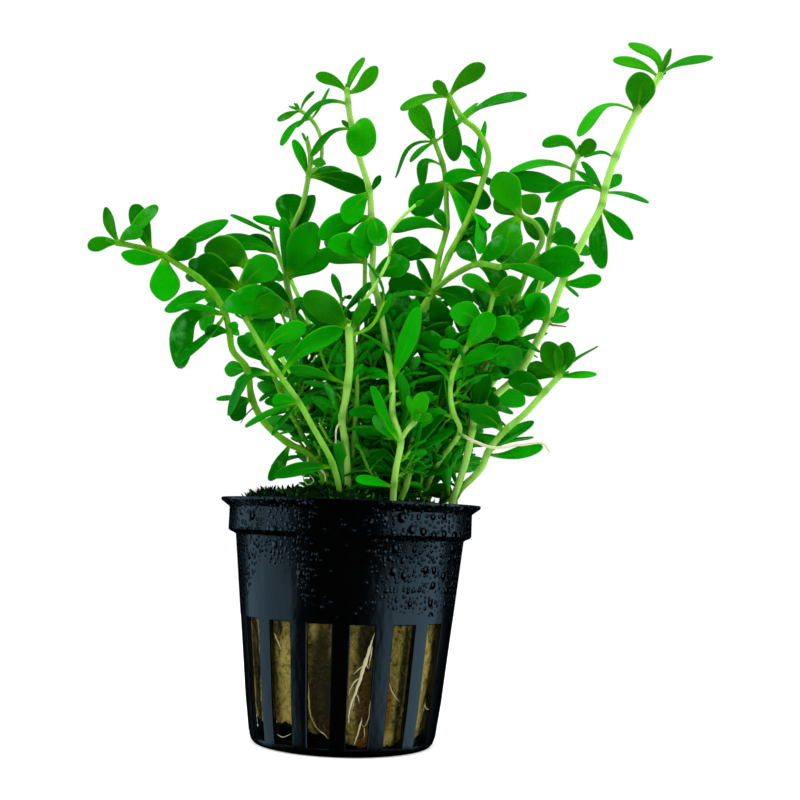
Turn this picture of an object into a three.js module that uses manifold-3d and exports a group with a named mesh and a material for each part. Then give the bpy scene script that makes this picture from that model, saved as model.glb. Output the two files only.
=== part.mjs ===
// Compact water hyssop growing in a rockwool plug in a slotted net pot.
// Millimetres, +Z up. The origin is the centre of the pot's underside, and the viewer stands towards -Y.

import * as THREE from 'three';
import { mergeVertices } from 'three/addons/utils/BufferGeometryUtils.js';
import Module from 'manifold-3d';

const wasm = await Module();
wasm.setup();

// Net pot: radii are outside ones, heights are above the surface that the pot stands on
const POT_HEIGHT = 50;
const LIP_RADIUS = 27.5;
const BAND_RADIUS = 25.7;
const BAND_FOOT = 43.4;
const BAND_HEAD = 48.2;
const WALL_HEAD_RADIUS = 24.1;
const WALL_HEAD = 42.5;
const WALL_FOOT_RADIUS = 20.5;
const WALL_FOOT = 9;
const HEEL_RADIUS = 19.5;
const HEEL = 2.2;
const FLOOR_RADIUS = 17.8;
const WALL = 0.9;
const FLOOR = 1.2;

// Slots in the wall and in the floor
const SLOTS = 16;
const FIRST_SLOT = -79.4;
const SLOT_ARC = 13;
const SLOT_FOOT = 1.7;
const SLOT_HEAD = 25.8;
const FLOOR_SLOTS = 8;
const FLOOR_SLOT_WIDTH = 2.6;
const FLOOR_SLOT_START = 7;
const FLOOR_SLOT_END = 14;
const POT_FACETS = SLOTS * 2;

// Rockwool plug: it fills the pot with a little air round it, and its lower end is ragged
const PLUG_HEAD = 48.6;
const PLUG_AIR = 0.5;
const PLUG_FOOT_FRONT = 2.6;
const PLUG_FOOT_SIDE = 5.6;
const PLUG_FACETS = 24;

// Shoots, leaves and roots
const SOIL_LINE = 49.5;
const LOWEST_LEAF_TIP = 52;
const STEM_SIDES = 5;
const LONG_SPAN = 16;
const BUD = 2;
const LEAF_SUNK = 0.6;
const LEAF_SLENDERNESS = 0.42;
const FLAT_LEAF = { stations: [0, 0.62, 1], spread: [0, 1, 0.4] };
const ARCHED_LEAF = { stations: [0, 0.36, 0.72, 1], spread: [0, 0.66, 1, 0.4] };
const ARCHED_FROM = 0.14;
const LEAF_THICKNESS = 0.8;
const CLEARANCE = 0.3;

// Where the shape was looked at from: a place read in the upright plane through the pot's axis is pushed
// back along the line of sight to its depth, and negative depths are nearer the viewer.
const VIEWPOINT = new THREE.Vector3(9.5, -263.8, 44.65);

// Each shoot: name, girth at the foot and at the tip, and its stem from the plug up, as rows of
// x, depth, z and the leaves that leave the stem there. Each leaf: x, depth and z of its tip, its width
// as the viewer sees it, how far it bows towards the growing tip as a share of its length, and which
// side the viewer sees: above 0 the upper one, below 0 the underside, and at 0 the one that lies so
// by nature. Rows with one name are forks of one shoot.
const SHOOTS = [
  ["shoot_right_tall", 1.15, 0.6, [
    [21.3, -6, 49.5, []],
    [24.1, -8, 59.6, []],
    [25.0, -8.5, 67.2, [[38.7, -13, 68.0, 4.6, 0.02, 0.8]]],
    [28.2, -8, 72.2, [[20.0, -1, 79.5, 4.6, 0.1, 0.4]]],
    [34.9, -7, 78.9, [[30.0, -16, 84.5, 6.0, 0.1, 0.6]]],
    [38.3, -6, 85.4, []],
    [40.8, -5, 90.6, [[45.4, -7, 93.6, 0.9, 0.0, 0.0], [36.0, -13, 96.0, 6.0, 0.1, 0.7]]],
    [44.0, -4, 99.7, [[52.3, -6, 100.5, 3.4, -0.06, 0.35], [47.4, -2, 96.1, 0.9, 0.0, 0.0]]],
    [48.8, -3, 110.1, []],
    [52.0, -2, 116.6, [[52.6, -7, 102.5, 4.4, -0.08, 0.95], [59.0, -4, 109.2, 3.5, 0.0, 0.45]]],
    [52.6, -2, 120.0, [[39.6, -5, 117.0, 2.9, 0.24, 0.0], [62.3, 0, 117.5, 1.4, 0.06, 0.0],
      [56.2, 1, 123.6, 3.0, 0.05, 0.7], [47.3, 1, 126.2, 2.0, 0.0, -0.4]]],
    [54.8, -1, 127.5, [[47.8, 0, 127.3, 0.9, 0.22, 0.0]]],
    [59.5, 1, 138.3, [[46.5, -2, 131.9, 2.3, 0.26, 0.0], [60.8, -3, 147.0, 7.2, 0.05, 1.0]]],
    [64.3, 2, 146.4, [[53.8, 0, 149.5, 2.8, 0.16, 0.0], [57.2, 5, 153.0, 3.0, 0.32, 0.2],
      [66.7, 1, 152.8, 1.8, 0.0, 0.7], [76.1, 2, 151.0, 2.0, 0.0, 0.0]]],
  ]],
  ["shoot_right_second", 0.95, 0.5, [
    [15.5, 4, 49.5, []],
    [20.0, 6, 60.0, []],
    [26.0, 8, 71.0, [[36.5, 13, 73.0, 5.2, 0.1, 0.4], [17.5, 14, 77.0, 5.0, 0.1, 0.3]]],
    [32.0, 9, 81.5, [[37.6, 2, 85.0, 4.4, 0.1, 0.8], [26.5, 18, 86.0, 5.0, 0.1, 0.2]]],
    [36.5, 9, 91.0, [[45.5, 12, 91.8, 4.6, 0.1, 0.5], [30.0, 4, 95.0, 5.6, 0.1, 0.8]]],
    [39.6, 8, 100.5, [[35.0, 17, 106.0, 5.0, 0.1, 0.3], [48.5, 10, 103.8, 3.4, 0.05, 0.3]]],
    [40.9, 7, 108.9, [[46.4, 1.5, 109.4, 5.2, 0.05, 0.9], [37.0, 13, 113.0, 4.0, 0.1, 0.4]]],
    [42.6, 6, 116.2, []],
    [45.2, 5, 120.8, [[31.6, 4, 122.2, 5.4, 0.0, -0.6]]],
    [45.7, 5, 124.9, [[31.6, 3, 123.2, 2.8, 0.16, 0.2], [50.8, 8, 121.4, 2.2, 0.03, 0.0]]],
    [46.7, 5, 127.6, [[38.6, 3, 130.0, 3.4, 0.28, 0.0], [50.1, 3, 131.2, 3.8, 0.0, 0.8]]],
  ]],
  ["shoot_right_round", 0.9, 0.55, [
    [12.5, -4, 49.5, []],
    [16.5, -4.5, 60.0, []],
    [22.5, -5, 70.0, [[16.0, -11, 75.0, 5.0, 0.1, 0.7], [31.0, -12, 73.0, 4.6, 0.1, 0.6]]],
    [28.5, -5, 82.0, [[20.5, -12, 86.5, 6.0, 0.1, 0.8], [36.0, 2, 81.0, 5.0, 0.1, 0.4]]],
    [33.5, -5, 94.0, [[24.0, -10, 95.6, 6.4, 0.1, 0.8], [40.5, -12, 92.5, 5.4, 0.1, 0.6]]],
    [36.8, -5, 103.4, [[47.6, -10, 103.6, 7.2, 0.05, 0.8], [29.0, 0, 105.0, 5.0, 0.1, 0.5]]],
    [39.2, -5, 108.6, []],
    [37.6, -5, 112.0, []],
    [34.0, -5, 114.0, [[29.0, -6, 124.2, 8.4, 0.0, 0.8], [32.8, -10, 105.3, 7.0, 0.05, 0.9],
      [38.8, -2, 108.4, 3.4, 0.1, 0.8]]],
    [33.3, -4, 118.2, [[38.5, -3, 115.4, 5.2, 0.05, 0.8]]],
  ]],
  ["shoot_right_low", 0.95, 0.6, [
    [20.6, -11, 49.5, []],
    [23.6, -12, 53.8, []],
    [26.4, -13, 56.6, []],
    [29.3, -14, 61.6, [[40.5, -15, 63.3, 3.2, -0.08, 0.25], [38.4, -11, 65.3, 0.9, 0.1, 0.0]]],
    [32.2, -14, 66.4, [[24.5, -18, 70.5, 5.0, 0.1, 0.8]]],
    [36.2, -14, 70.0, []],
    [40.6, -13, 75.2, [[34.8, -14, 75.6, 3.2, 0.0, 0.3], [33.0, -9, 78.0, 5.0, 0.1, 0.7]]],
    [43.8, -12, 78.8, [[51.7, -12, 79.4, 1.9, 0.02, 0.1], [51.8, -9, 85.5, 0.9, 0.07, 0.0],
      [45.4, -13, 86.2, 5.0, 0.0, 0.9], [40.3, -13, 86.0, 5.2, 0.05, 0.9],
      [36.6, -10, 80.2, 4.4, 0.05, 0.7]]],
  ]],
  ["shoot_right_inner", 0.8, 0.5, [
    [16.6, -14, 49.5, []],
    [20.0, -15, 57.5, []],
    [22.4, -15, 65.6, [[14.5, -19, 70.5, 5.0, 0.1, 0.7]]],
    [20.8, -14.5, 71.5, []],
    [20.7, -14, 77.5, [[29.0, -19, 78.5, 5.2, 0.1, 0.7], [15.0, -18, 82.5, 5.4, 0.1, 0.7]]],
    [23.4, -13, 83.4, []],
    [27.2, -12, 89.0, [[19.5, -17, 92.0, 6.0, 0.1, 0.8], [34.5, -16, 87.5, 6.2, 0.1, 0.7]]],
    [29.0, -11, 96.0, [[35.0, -17, 99.0, 5.0, 0.1, 0.5], [22.0, -14, 99.6, 3.6, 0.1, 0.3]]],
  ]],
  ["shoot_centre_right", 1.0, 0.6, [
    [10.9, -12.5, 49.5, []],
    [12.2, -13, 58.0, []],
    [12.7, -13, 63.0, [[19.0, -8, 68.0, 4.8, 0.1, 0.6]]],
    [12.0, -12, 70.0, []],
    [10.2, -11, 77.0, [[17.0, -5, 79.0, 5.0, 0.1, 0.5], [12.2, -14, 94.6, 4.4, 0.0, 1.0]]],
    [9.9, -10, 84.0, [[18.8, -13, 84.4, 5.4, 0.1, 0.8], [3.0, -4, 88.0, 5.0, 0.1, 0.4]]],
    [12.0, -9, 90.0, []],
    [15.8, -8, 96.2, [[6.0, -10, 97.6, 5.6, 0.1, 0.8], [24.6, -13, 93.6, 6.0, 0.1, 0.8],
      [18.6, -4, 87.0, 5.6, 0.0, 0.8]]],
    [19.0, -7, 104.3, [[25.6, -4, 112.5, 3.0, 0.0, 0.4]]],
    [21.6, -6, 109.5, [[28.0, -7, 111.5, 2.6, 0.0, 0.3]]],
    [23.7, -5, 114.6, []],
    [26.3, -4, 122.8, [[17.0, -5, 121.2, 3.6, 0.08, 0.2], [23.2, -6, 126.2, 2.2, 0.0, 0.5],
      [26.0, -2, 134.6, 1.4, 0.12, 0.3]]],
    [26.9, -4, 127.2, []],
    [24.2, -4, 132.4, []],
    [21.0, -4, 135.0, [[35.1, -2, 140.8, 3.6, 0.1, 0.0], [19.1, -8, 125.6, 4.4, 0.1, 0.9]]],
    [17.6, -4, 140.2, [[25.5, -5, 147.4, 4.4, 0.0, 0.6], [14.3, -7, 143.1, 3.2, 0.0, 0.4],
      [7.2, -5, 136.4, 3.6, 0.2, 0.0]]],
  ]],
  ["shoot_centre_right", 0.8, 0.5, [
    [15.8, -8, 96.2, []],
    [16.9, -6.5, 103.9, [[6.5, -9, 105.6, 5.4, 0.08, 0.7]]],
    [18.3, -3.5, 110.2, [[6.2, -8, 109.2, 3.8, 0.12, 0.0]]],
    [18.0, -2, 116.4, []],
    [17.7, -2, 121.0, [[25.8, -5, 104.8, 3.4, 0.04, 0.9], [9.8, 0, 114.8, 6.4, 0.0, -0.8],
      [27.6, 1, 115.4, 5.4, 0.05, 0.7]]],
    [16.9, -2, 124.6, [[12.4, -6, 119.2, 3.8, 0.45, 0.0]]],
    [14.8, -2, 130.0, [[10.0, -1, 137.6, 5.0, 0.0, 0.9], [6.6, -1, 121.0, 3.0, 0.35, 0.0],
      [9.7, -4, 124.8, 2.8, 0.15, 0.0], [20.1, 0, 134.9, 2.4, 0.0, 0.0]]],
  ]],
  ["shoot_centre_right", 0.85, 0.6, [
    [15.8, -8, 96.2, []],
    [20.6, -10.5, 100.2, []],
    [25.6, -12, 102.6, [[31.2, -14, 109.0, 4.2, 0.05, 0.5], [21.0, -13, 107.0, 4.0, 0.05, 0.8],
      [31.5, -9, 98.0, 4.6, 0.1, 0.7]]],
    [30.0, -13, 102.0, [[42.2, -16, 99.8, 4.6, 0.08, -0.3], [37.5, -10, 107.5, 4.0, 0.1, 0.6]]],
  ]],
  ["shoot_centre_tall", 1.1, 0.6, [
    [9.2, -17, 49.5, []],
    [9.3, -17.2, 51.4, [[-0.5, -20, 54.5, 3.2, 0.0, 0.4]]],
    [9.6, -17.5, 57.0, []],
    [10.0, -17.5, 64.4, [[15.0, -20, 74.3, 3.8, 0.05, 0.85], [3.2, -21, 75.2, 3.6, -0.05, 0.5]]],
    [8.5, -17, 69.5, []],
    [7.6, -16, 77.0, [[-0.5, -10, 79.0, 4.6, 0.1, 0.4]]],
    [6.0, -15, 85.0, [[13.5, -20, 89.5, 3.4, 0.0, 0.5], [4.6, -20, 80.0, 3.4, 0.1, 0.6]]],
    [4.2, -13, 93.0, [[11.6, -6, 92.4, 6.2, 0.05, 0.8]]],
    [2.6, -11.5, 99.0, [[10.5, -16, 102.5, 5.6, 0.1, 0.8]]],
    [2.4, -10, 105.7, [[-7.5, -14, 106.5, 5.6, 0.12, 0.6]]],
    [1.7, -9, 112.6, [[5.8, -13, 109.3, 4.8, 0.05, 0.8], [-9.4, -11, 106.9, 5.6, 0.08, 0.5]]],
    [1.1, -8.5, 118.0, [[3.4, -9, 121.5, 1.8, 0.0, 0.4], [-4.4, -12, 111.0, 5.6, 0.05, 0.9]]],
    [-1.6, -8, 126.0, []],
    [-3.3, -8, 132.2, [[0.3, -13, 125.4, 7.2, 0.15, 1.0], [-12.0, -9, 125.1, 3.6, 0.22, 0.1],
      [-5.6, -7, 133.6, 1.4, 0.0, 0.0]]],
    [-4.4, -8, 137.8, [[-15.5, -9, 131.6, 3.2, 0.28, 0.0]]],
    [-4.7, -8, 140.4, [[-11.8, -9, 143.6, 3.8, 0.1, 0.1], [-1.3, -6, 148.1, 2.2, 0.05, 0.4],
      [1.9, -10, 146.0, 3.4, 0.0, 0.6]]],
  ]],
  ["shoot_left_upper", 0.95, 0.5, [
    [-3.4, 1, 49.5, []],
    [-6.4, 0, 60.0, [[-8.6, 8, 64.5, 4.6, 0.1, 0.5]]],
    [-9.8, -1.5, 71.0, [[-3.5, -7, 74.5, 5.0, 0.1, 0.7], [-18.5, 4, 74.0, 5.0, 0.1, 0.4]]],
    [-12.5, -3, 82.0, [[-3.0, -10, 86.6, 6.6, 0.1, 0.8], [-19.5, -8, 84.0, 5.0, 0.1, 0.7]]],
    [-14.8, -4, 92.0, [[-26.0, -8, 98.0, 7.4, 0.05, 0.8], [-8.0, 2, 91.0, 5.0, 0.1, 0.6]]],
    [-16.2, -5, 98.2, [[-11.2, -10, 110.2, 5.8, 0.0, 0.9], [-17.8, -9, 111.3, 2.8, 0.0, 0.6],
      [-21.6, -10, 98.8, 3.6, 0.05, 0.6]]],
    [-15.6, -5, 104.0, [[-11.3, -4, 116.6, 3.4, 0.0, 0.6]]],
    [-15.4, -5, 108.4, [[-16.4, -2, 116.6, 7.2, 0.0, 0.95], [-24.1, -6, 111.1, 2.8, 0.1, 0.1]]],
    [-13.3, -5, 114.4, []],
    [-12.3, -5, 121.2, [[-16.1, -5, 128.8, 2.6, 0.0, 0.3], [1.0, -2, 117.8, 4.8, 0.05, 0.5],
      [-4.2, 1, 120.9, 3.6, 0.1, 0.1]]],
    [-12.0, -5, 124.4, [[-8.7, -8, 123.6, 2.6, 0.0, 0.1]]],
    [-12.9, -5, 128.4, []],
  ]],
  ["shoot_left_upper", 0.55, 0.4, [
    [-12.3, -5, 121.2, []],
    [-10.0, -4, 123.6, []],
    [-9.7, -3.5, 127.4, []],
    [-10.6, -3, 131.0, []],
    [-12.8, -3, 134.0, [[-8.6, -2, 140.8, 2.0, -0.06, 0.0], [-18.7, -4, 127.3, 2.8, 0.3, 0.0]]],
    [-15.1, -3, 135.6, [[-11.9, -2, 139.9, 1.5, 0.12, 0.0], [-19.8, -4, 133.0, 2.8, 0.12, 0.2],
      [-17.4, -2, 136.3, 1.2, 0.0, 0.0]]],
  ]],
  ["shoot_left_upper", 0.6, 0.45, [
    [-16.2, -5, 98.2, []],
    [-18.3, -3.5, 103.4, [[-25.0, -1, 106.6, 4.2, 0.05, 0.7]]],
    [-19.8, -3, 108.0, [[-29.0, -3, 111.4, 1.0, 0.0, 0.0]]],
  ]],
  ["shoot_left_long", 1.05, 0.6, [
    [-4.4, -12.5, 49.5, []],
    [-6.9, -13.2, 56.5, []],
    [-9.9, -14.0, 60.0, []],
    [-14.2, -14.5, 62.1, [[-17.9, -16, 53.9, 3.0, 0.0, 0.5]]],
    [-19.5, -15, 66.4, []],
    [-22.4, -15, 71.6, [[-30.0, -16, 70.9, 1.3, 0.05, 0.0], [-26.4, -18, 66.6, 4.6, 0.15, 0.4]]],
    [-23.7, -15, 77.8, [[-25.4, -17, 71.8, 2.6, 0.05, 0.6], [-28.5, -12, 77.6, 3.8, 0.05, -0.7]]],
    [-27.0, -15, 81.6, []],
    [-27.9, -15, 85.8, [[-33.2, -18, 85.6, 3.2, 0.1, 0.6]]],
    [-29.2, -15, 90.0, [[-42.0, -18, 89.4, 4.6, 0.04, -0.5], [-39.0, -20, 77.3, 5.6, 0.2, 0.9],
      [-38.4, -13, 78.4, 3.4, 0.05, 0.4]]],
    [-31.6, -14.5, 93.8, [[-44.8, -11, 92.6, 5.4, 0.08, 0.7]]],
    [-35.2, -14, 97.2, [[-38.0, -10, 97.4, 2.4, 0.0, 0.4]]],
    [-40.0, -13.5, 100.1, []],
    [-43.2, -13, 102.0, [[-29.3, -12, 110.2, 5.8, 0.03, -0.45], [-35.8, -16, 103.2, 5.4, 0.05, 0.8],
      [-52.3, -15, 101.9, 3.2, 0.05, 0.3], [-41.6, -17, 92.3, 6.2, 0.1, 0.95]]],
    [-46.4, -12.5, 103.0, [[-49.8, -12, 113.1, 5.0, 0.0, 0.9], [-44.6, -9, 112.4, 3.0, 0.0, 0.4]]],
    [-53.3, -12, 104.3, [[-59.6, -13, 102.9, 3.9, 0.1, 0.6], [-56.4, -10, 112.1, 2.8, 0.05, 0.7],
      [-48.0, -14, 107.6, 3.6, 0.1, 0.3]]],
  ]],
  ["shoot_left_thick", 1.15, 0.75, [
    [-2.0, -17.5, 49.5, []],
    [-4.3, -18.5, 57.8, [[-16.8, -21, 54.6, 3.2, 0.04, 0.4]]],
    [-8.6, -19.5, 65.1, []],
    [-12.4, -19.5, 71.2, [[-23.5, -20, 65.1, 1.4, 0.04, 0.0], [-5.0, -24, 76.0, 5.0, 0.1, 0.8]]],
    [-16.6, -19, 76.7, []],
    [-20.4, -18, 82.2, [[-11.5, -22, 88.6, 6.4, 0.1, 0.8], [-22.0, -14, 91.0, 5.6, 0.0, 0.8]]],
    [-25.2, -16, 89.5, [[-17.0, -21, 93.0, 6.0, 0.1, 0.7]]],
  ]],
  ["shoot_left_second", 0.85, 0.55, [
    [-4.6, -6, 49.5, []],
    [-8.6, -8, 58.5, [[-3.0, -12, 63.0, 4.8, 0.1, 0.6]]],
    [-13.4, -9, 63.0, []],
    [-18.2, -9.5, 68.2, [[-10.5, -14, 73.5, 4.8, 0.1, 0.7]]],
    [-21.6, -10, 73.4, [[-15.0, -14, 79.5, 5.2, 0.1, 0.6]]],
    [-24.2, -10.5, 79.2, []],
    [-25.8, -10.5, 84.2, []],
    [-26.8, -10.5, 89.0, [[-34.0, -6, 94.0, 5.4, 0.1, 0.7]]],
    [-26.0, -10, 95.5, [[-36.4, -12, 101.0, 8.0, 0.05, 0.75], [-21.0, -15, 104.0, 5.4, 0.05, 0.8]]],
    [-24.6, -8, 100.4, [[-34.0, -5, 105.4, 5.6, 0.1, 0.5]]],
  ]],
  ["shoot_centre_thick", 1.15, 0.55, [
    [-0.8, -13, 49.5, []],
    [-1.8, -13.8, 58.0, []],
    [-2.7, -15, 67.2, [[-9.5, -19, 71.0, 4.6, 0.1, 0.6]]],
    [-1.8, -16, 74.0, []],
    [-1.4, -16.5, 81.0, []],
    [-3.2, -16.5, 88.8, [[-14.7, -19, 99.6, 6.4, 0.05, 0.85], [5.4, -19, 101.4, 3.0, 0.0, 0.8]]],
    [0.4, -16, 92.4, []],
    [3.6, -15.5, 97.8, []],
    [6.2, -14.5, 103.8, [[12.8, -17, 106.5, 4.6, 0.1, 0.7]]],
    [6.0, -13.5, 108.6, []],
    [8.6, -12.5, 112.4, []],
    [11.2, -11.5, 115.0, []],
  ]],
  ["shoot_centre_thin", 0.75, 0.5, [
    [3.2, -9, 49.5, []],
    [0.6, -10, 60.0, [[-6.5, -6, 63.0, 4.4, 0.1, 0.4]]],
    [0.4, -10.5, 70.0, [[6.5, -6, 73.0, 4.4, 0.1, 0.4]]],
    [0.8, -10.8, 78.0, []],
    [1.2, -9.5, 86.0, [[-7.0, -12, 90.5, 5.0, 0.1, 0.7]]],
    [0.8, -7, 94.0, []],
    [0.8, -5.5, 102.4, [[-9.8, -8, 103.4, 4.4, 0.03, -0.4], [-8.0, -1, 107.0, 5.0, 0.1, 0.6]]],
  ]],
];

// Shoots that the viewer sees little of, grown by rule: name, compass angle and distance from the axis at
// the foot, compass angle and length of the lean, height of the tip, pairs of leaves and the dice's seed.
const FILLERS = [
  ["shoot_middle_left", 62, 5, 70, 7, 94, 6, 11],
  ["shoot_middle_right", -29, 6, 44, 10, 91, 6, 23],
  ["shoot_side_right", -6, 19, 20, 14, 84, 5, 37],
  ["shoot_back_right", 30, 18, 28, 34, 112, 5, 41],
  ["shoot_back_right_low", 52, 12, 48, 20, 84, 5, 53],
  ["shoot_back", 72, 17, 66, 28, 102, 5, 67],
  ["shoot_back_middle", 100, 9, 92, 14, 88, 5, 71],
  ["shoot_back_left", 100, 18, 122, 30, 106, 5, 83],
  ["shoot_back_left_low", 112, 10, 138, 22, 86, 5, 97],
];
const FILLER_GIRTH = 0.85;
const FILLER_TIP_GIRTH = 0.5;
const FILLER_STEPS = 5;
const FILLER_LEAF = 10.5;
const FILLER_LEAF_WIDTH = 4.8;
const FILLER_LOWEST_PAIR = 0.1;
const FILLER_LOW_RISE = -12;
const FILLER_HIGH_RISE = 46;

// Roots in the slots and in the air: name, girth, then x, depth and z or azimuth and height on the wall
const AERIAL_ROOT = [
  [22.4, -15, 65.4], [25.7, -17.5, 63.9], [30.2, -18, 62.7], [36.4, -18, 63.6],
  [40.3, -18, 64.0], [42.0, -18, 62.2],
];
const AERIAL_ROOT_BEARER = 'shoot_right_inner';
const AERIAL_ROOT_GIRTH = 0.35;
const SLOT_ROOTS = [
  ["root_white", 0.42, [[-75.8, 23.6], [-77.2, 18.8], [-80.0, 14.6], [-83.0, 10.2], [-84.2, 6.6]]],
  ["root_white_low", 0.3, [[-77.4, 8.0], [-78.6, 5.6], [-80.4, 3.2]]],
  ["root_golden", 0.32, [[-106.6, 13.4], [-106.0, 9.2], [-104.2, 6.2], [-99.6, 4.9], [-96.6, 4.2]]],
];

const MATERIALS = {
  pot: { color: 0x14181c, roughness: 0.38, metalness: 0 },
  rockwool: { color: 0x77703a, roughness: 0.95, metalness: 0 },
  moss: { color: 0x1d3b12, roughness: 0.9, metalness: 0 },
  leaf: { color: 0x168a12, roughness: 0.45, metalness: 0 },
  root: { color: 0xe9e6d2, roughness: 0.6, metalness: 0 },
};

const part = new THREE.Group();

// Turns a closed geometry into a solid that can be joined and cut, without faces that shrank to a line
function solidOf(geometry) {
  geometry.deleteAttribute('normal');
  geometry.deleteAttribute('uv');
  const merged = mergeVertices(geometry, 1e-4);
  const corners = [];
  for (let face = 0; face < merged.index.count; face += 3) {
    const [a, b, c] = merged.index.array.slice(face, face + 3);
    if (a !== b && b !== c && c !== a) {
      corners.push(a, b, c);
    }
  }
  return new wasm.Manifold(new wasm.Mesh({
    numProp: 3,
    vertProperties: new Float32Array(merged.attributes.position.array),
    triVerts: new Uint32Array(corners),
  }));
}

// Turns a solid back into a geometry
function geometryOf(solid) {
  const mesh = solid.getMesh();
  const geometry = new THREE.BufferGeometry();
  geometry.setAttribute('position', new THREE.BufferAttribute(mesh.vertProperties, 3));
  geometry.setIndex(new THREE.BufferAttribute(mesh.triVerts, 1));
  geometry.computeVertexNormals();
  return geometry;
}

// Adds a named piece to the part
function addPiece(name, solid, material) {
  const mesh = new THREE.Mesh(geometryOf(solid), new THREE.MeshStandardMaterial(MATERIALS[material]));
  mesh.name = name;
  part.add(mesh);
}

// Skins a row of rings with the same number of corners, and closes both ends
function loft(rings) {
  const corners = rings[0].length;
  const faces = [];
  for (let ring = 0; ring + 1 < rings.length; ring += 1) {
    for (let corner = 0; corner < corners; corner += 1) {
      const here = ring * corners + corner;
      const next = ring * corners + (corner + 1) % corners;
      faces.push(here, next, next + corners, here, next + corners, here + corners);
    }
  }
  const last = (rings.length - 1) * corners;
  for (let corner = 1; corner + 1 < corners; corner += 1) {
    faces.push(0, corner + 1, corner, last, last + corner, last + corner + 1);
  }
  const geometry = new THREE.BufferGeometry().setFromPoints(rings.flat());
  geometry.setIndex(faces);
  return solidOf(geometry);
}

// A tapering stem or root through its points, which ends in a bud or a tip
function tube(points, footGirth, tipGirth, sides, margin = 0) {
  const curve = new THREE.CatmullRomCurve3(points, false, 'centripetal');
  const stops = [0];
  for (let span = 0; span + 1 < points.length; span += 1) {
    if (points[span].distanceTo(points[span + 1]) > LONG_SPAN) {
      stops.push((span + 0.5) / (points.length - 1));
    }
    stops.push((span + 1) / (points.length - 1));
  }
  let out = new THREE.Vector3(0, 1, 0);
  const rings = stops.map((stop) => {
    const along = curve.getTangent(stop);
    out = across(out, along);
    const side = along.clone().cross(out);
    const girth = THREE.MathUtils.lerp(footGirth, tipGirth, stop) + margin;
    const ring = [];
    for (let corner = 0; corner < sides; corner += 1) {
      const turn = (corner / sides) * 2 * Math.PI;
      ring.push(curve.getPoint(stop)
        .addScaledVector(out, girth * Math.cos(turn))
        .addScaledVector(side, girth * Math.sin(turn)));
    }
    return ring;
  });
  const bud = curve.getPoint(1).addScaledVector(curve.getTangent(1), BUD * tipGirth + margin);
  rings.push(rings[0].map(() => bud));
  return loft(rings);
}

// A place read in the upright plane through the axis, pushed along the line of sight to its depth
function sighted(x, depth, z) {
  const flat = new THREE.Vector3(x, 0, z);
  return flat.sub(VIEWPOINT).multiplyScalar(1 - depth / VIEWPOINT.y).add(VIEWPOINT);
}

// The part of a direction that is square to an axis, as a unit vector
function across(direction, axis) {
  return direction.clone().addScaledVector(axis, -direction.dot(axis)).normalize();
}

// A leaf as a thin blade that starts from a point: flat above, with a keel along its underside
function blade(leaf, margin = 0) {
  const length = leaf.foot.distanceTo(leaf.tip);
  const axis = leaf.tip.clone().sub(leaf.foot).normalize();
  const natural = across(leaf.growth, axis);
  const viewer = across(VIEWPOINT.clone().sub(leaf.foot), axis);
  const width = Math.max(leaf.seenWidth, LEAF_SLENDERNESS * length);
  const upper = natural.clone();
  if (leaf.facing !== undefined) {
    const shown = (leaf.seenWidth / width) * Math.sign(leaf.facing || natural.dot(viewer));
    const edge = axis.clone().cross(viewer);
    const hidden = Math.sqrt(1 - shown ** 2) * Math.sign(edge.dot(natural));
    upper.copy(viewer).multiplyScalar(shown).addScaledVector(edge, hidden);
  }
  const side = axis.clone().cross(upper);
  const form = leaf.lift > ARCHED_FROM ? ARCHED_LEAF : FLAT_LEAF;
  const rings = form.stations.map((station, index) => {
    const bow = 4 * station * (1 - station) * leaf.lift * length;
    const middle = leaf.foot.clone().addScaledVector(axis, station * (length + margin))
      .addScaledVector(natural, bow);
    const half = form.spread[index] * width / 2 + 2 * margin;
    const keel = index === 0 ? 0 : LEAF_THICKNESS;
    return [
      middle.clone().addScaledVector(side, -half).addScaledVector(upper, margin),
      middle.clone().addScaledVector(side, half).addScaledVector(upper, margin),
      middle.clone().addScaledVector(upper, -keel - 2 * margin),
    ];
  });
  return loft(rings);
}

// Dice that fall the same way every time
function dice(seed) {
  let state = seed * 7919 + 13;
  return (low, high) => {
    state = (state * 16807) % 2147483647;
    return low + (high - low) * (state / 2147483647);
  };
}

// Reads one row of SHOOTS: its stem's points and its leaves
function plannedStem([name, footGirth, tipGirth, rows]) {
  const points = rows.map(([x, depth, z]) => sighted(x, depth, z));
  const curve = new THREE.CatmullRomCurve3(points, false, 'centripetal');
  const leaves = rows.flatMap((row, index) => row[3].map(([x, depth, z, width, lift, facing]) => ({
    foot: points[index].clone().addScaledVector(curve.getTangent(index / (rows.length - 1)), -LEAF_SUNK),
    tip: sighted(x, depth, z),
    growth: curve.getTangent(index / (rows.length - 1)),
    seenWidth: width,
    lift,
    facing,
  })));
  return { name, footGirth, tipGirth, points, leaves };
}

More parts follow.
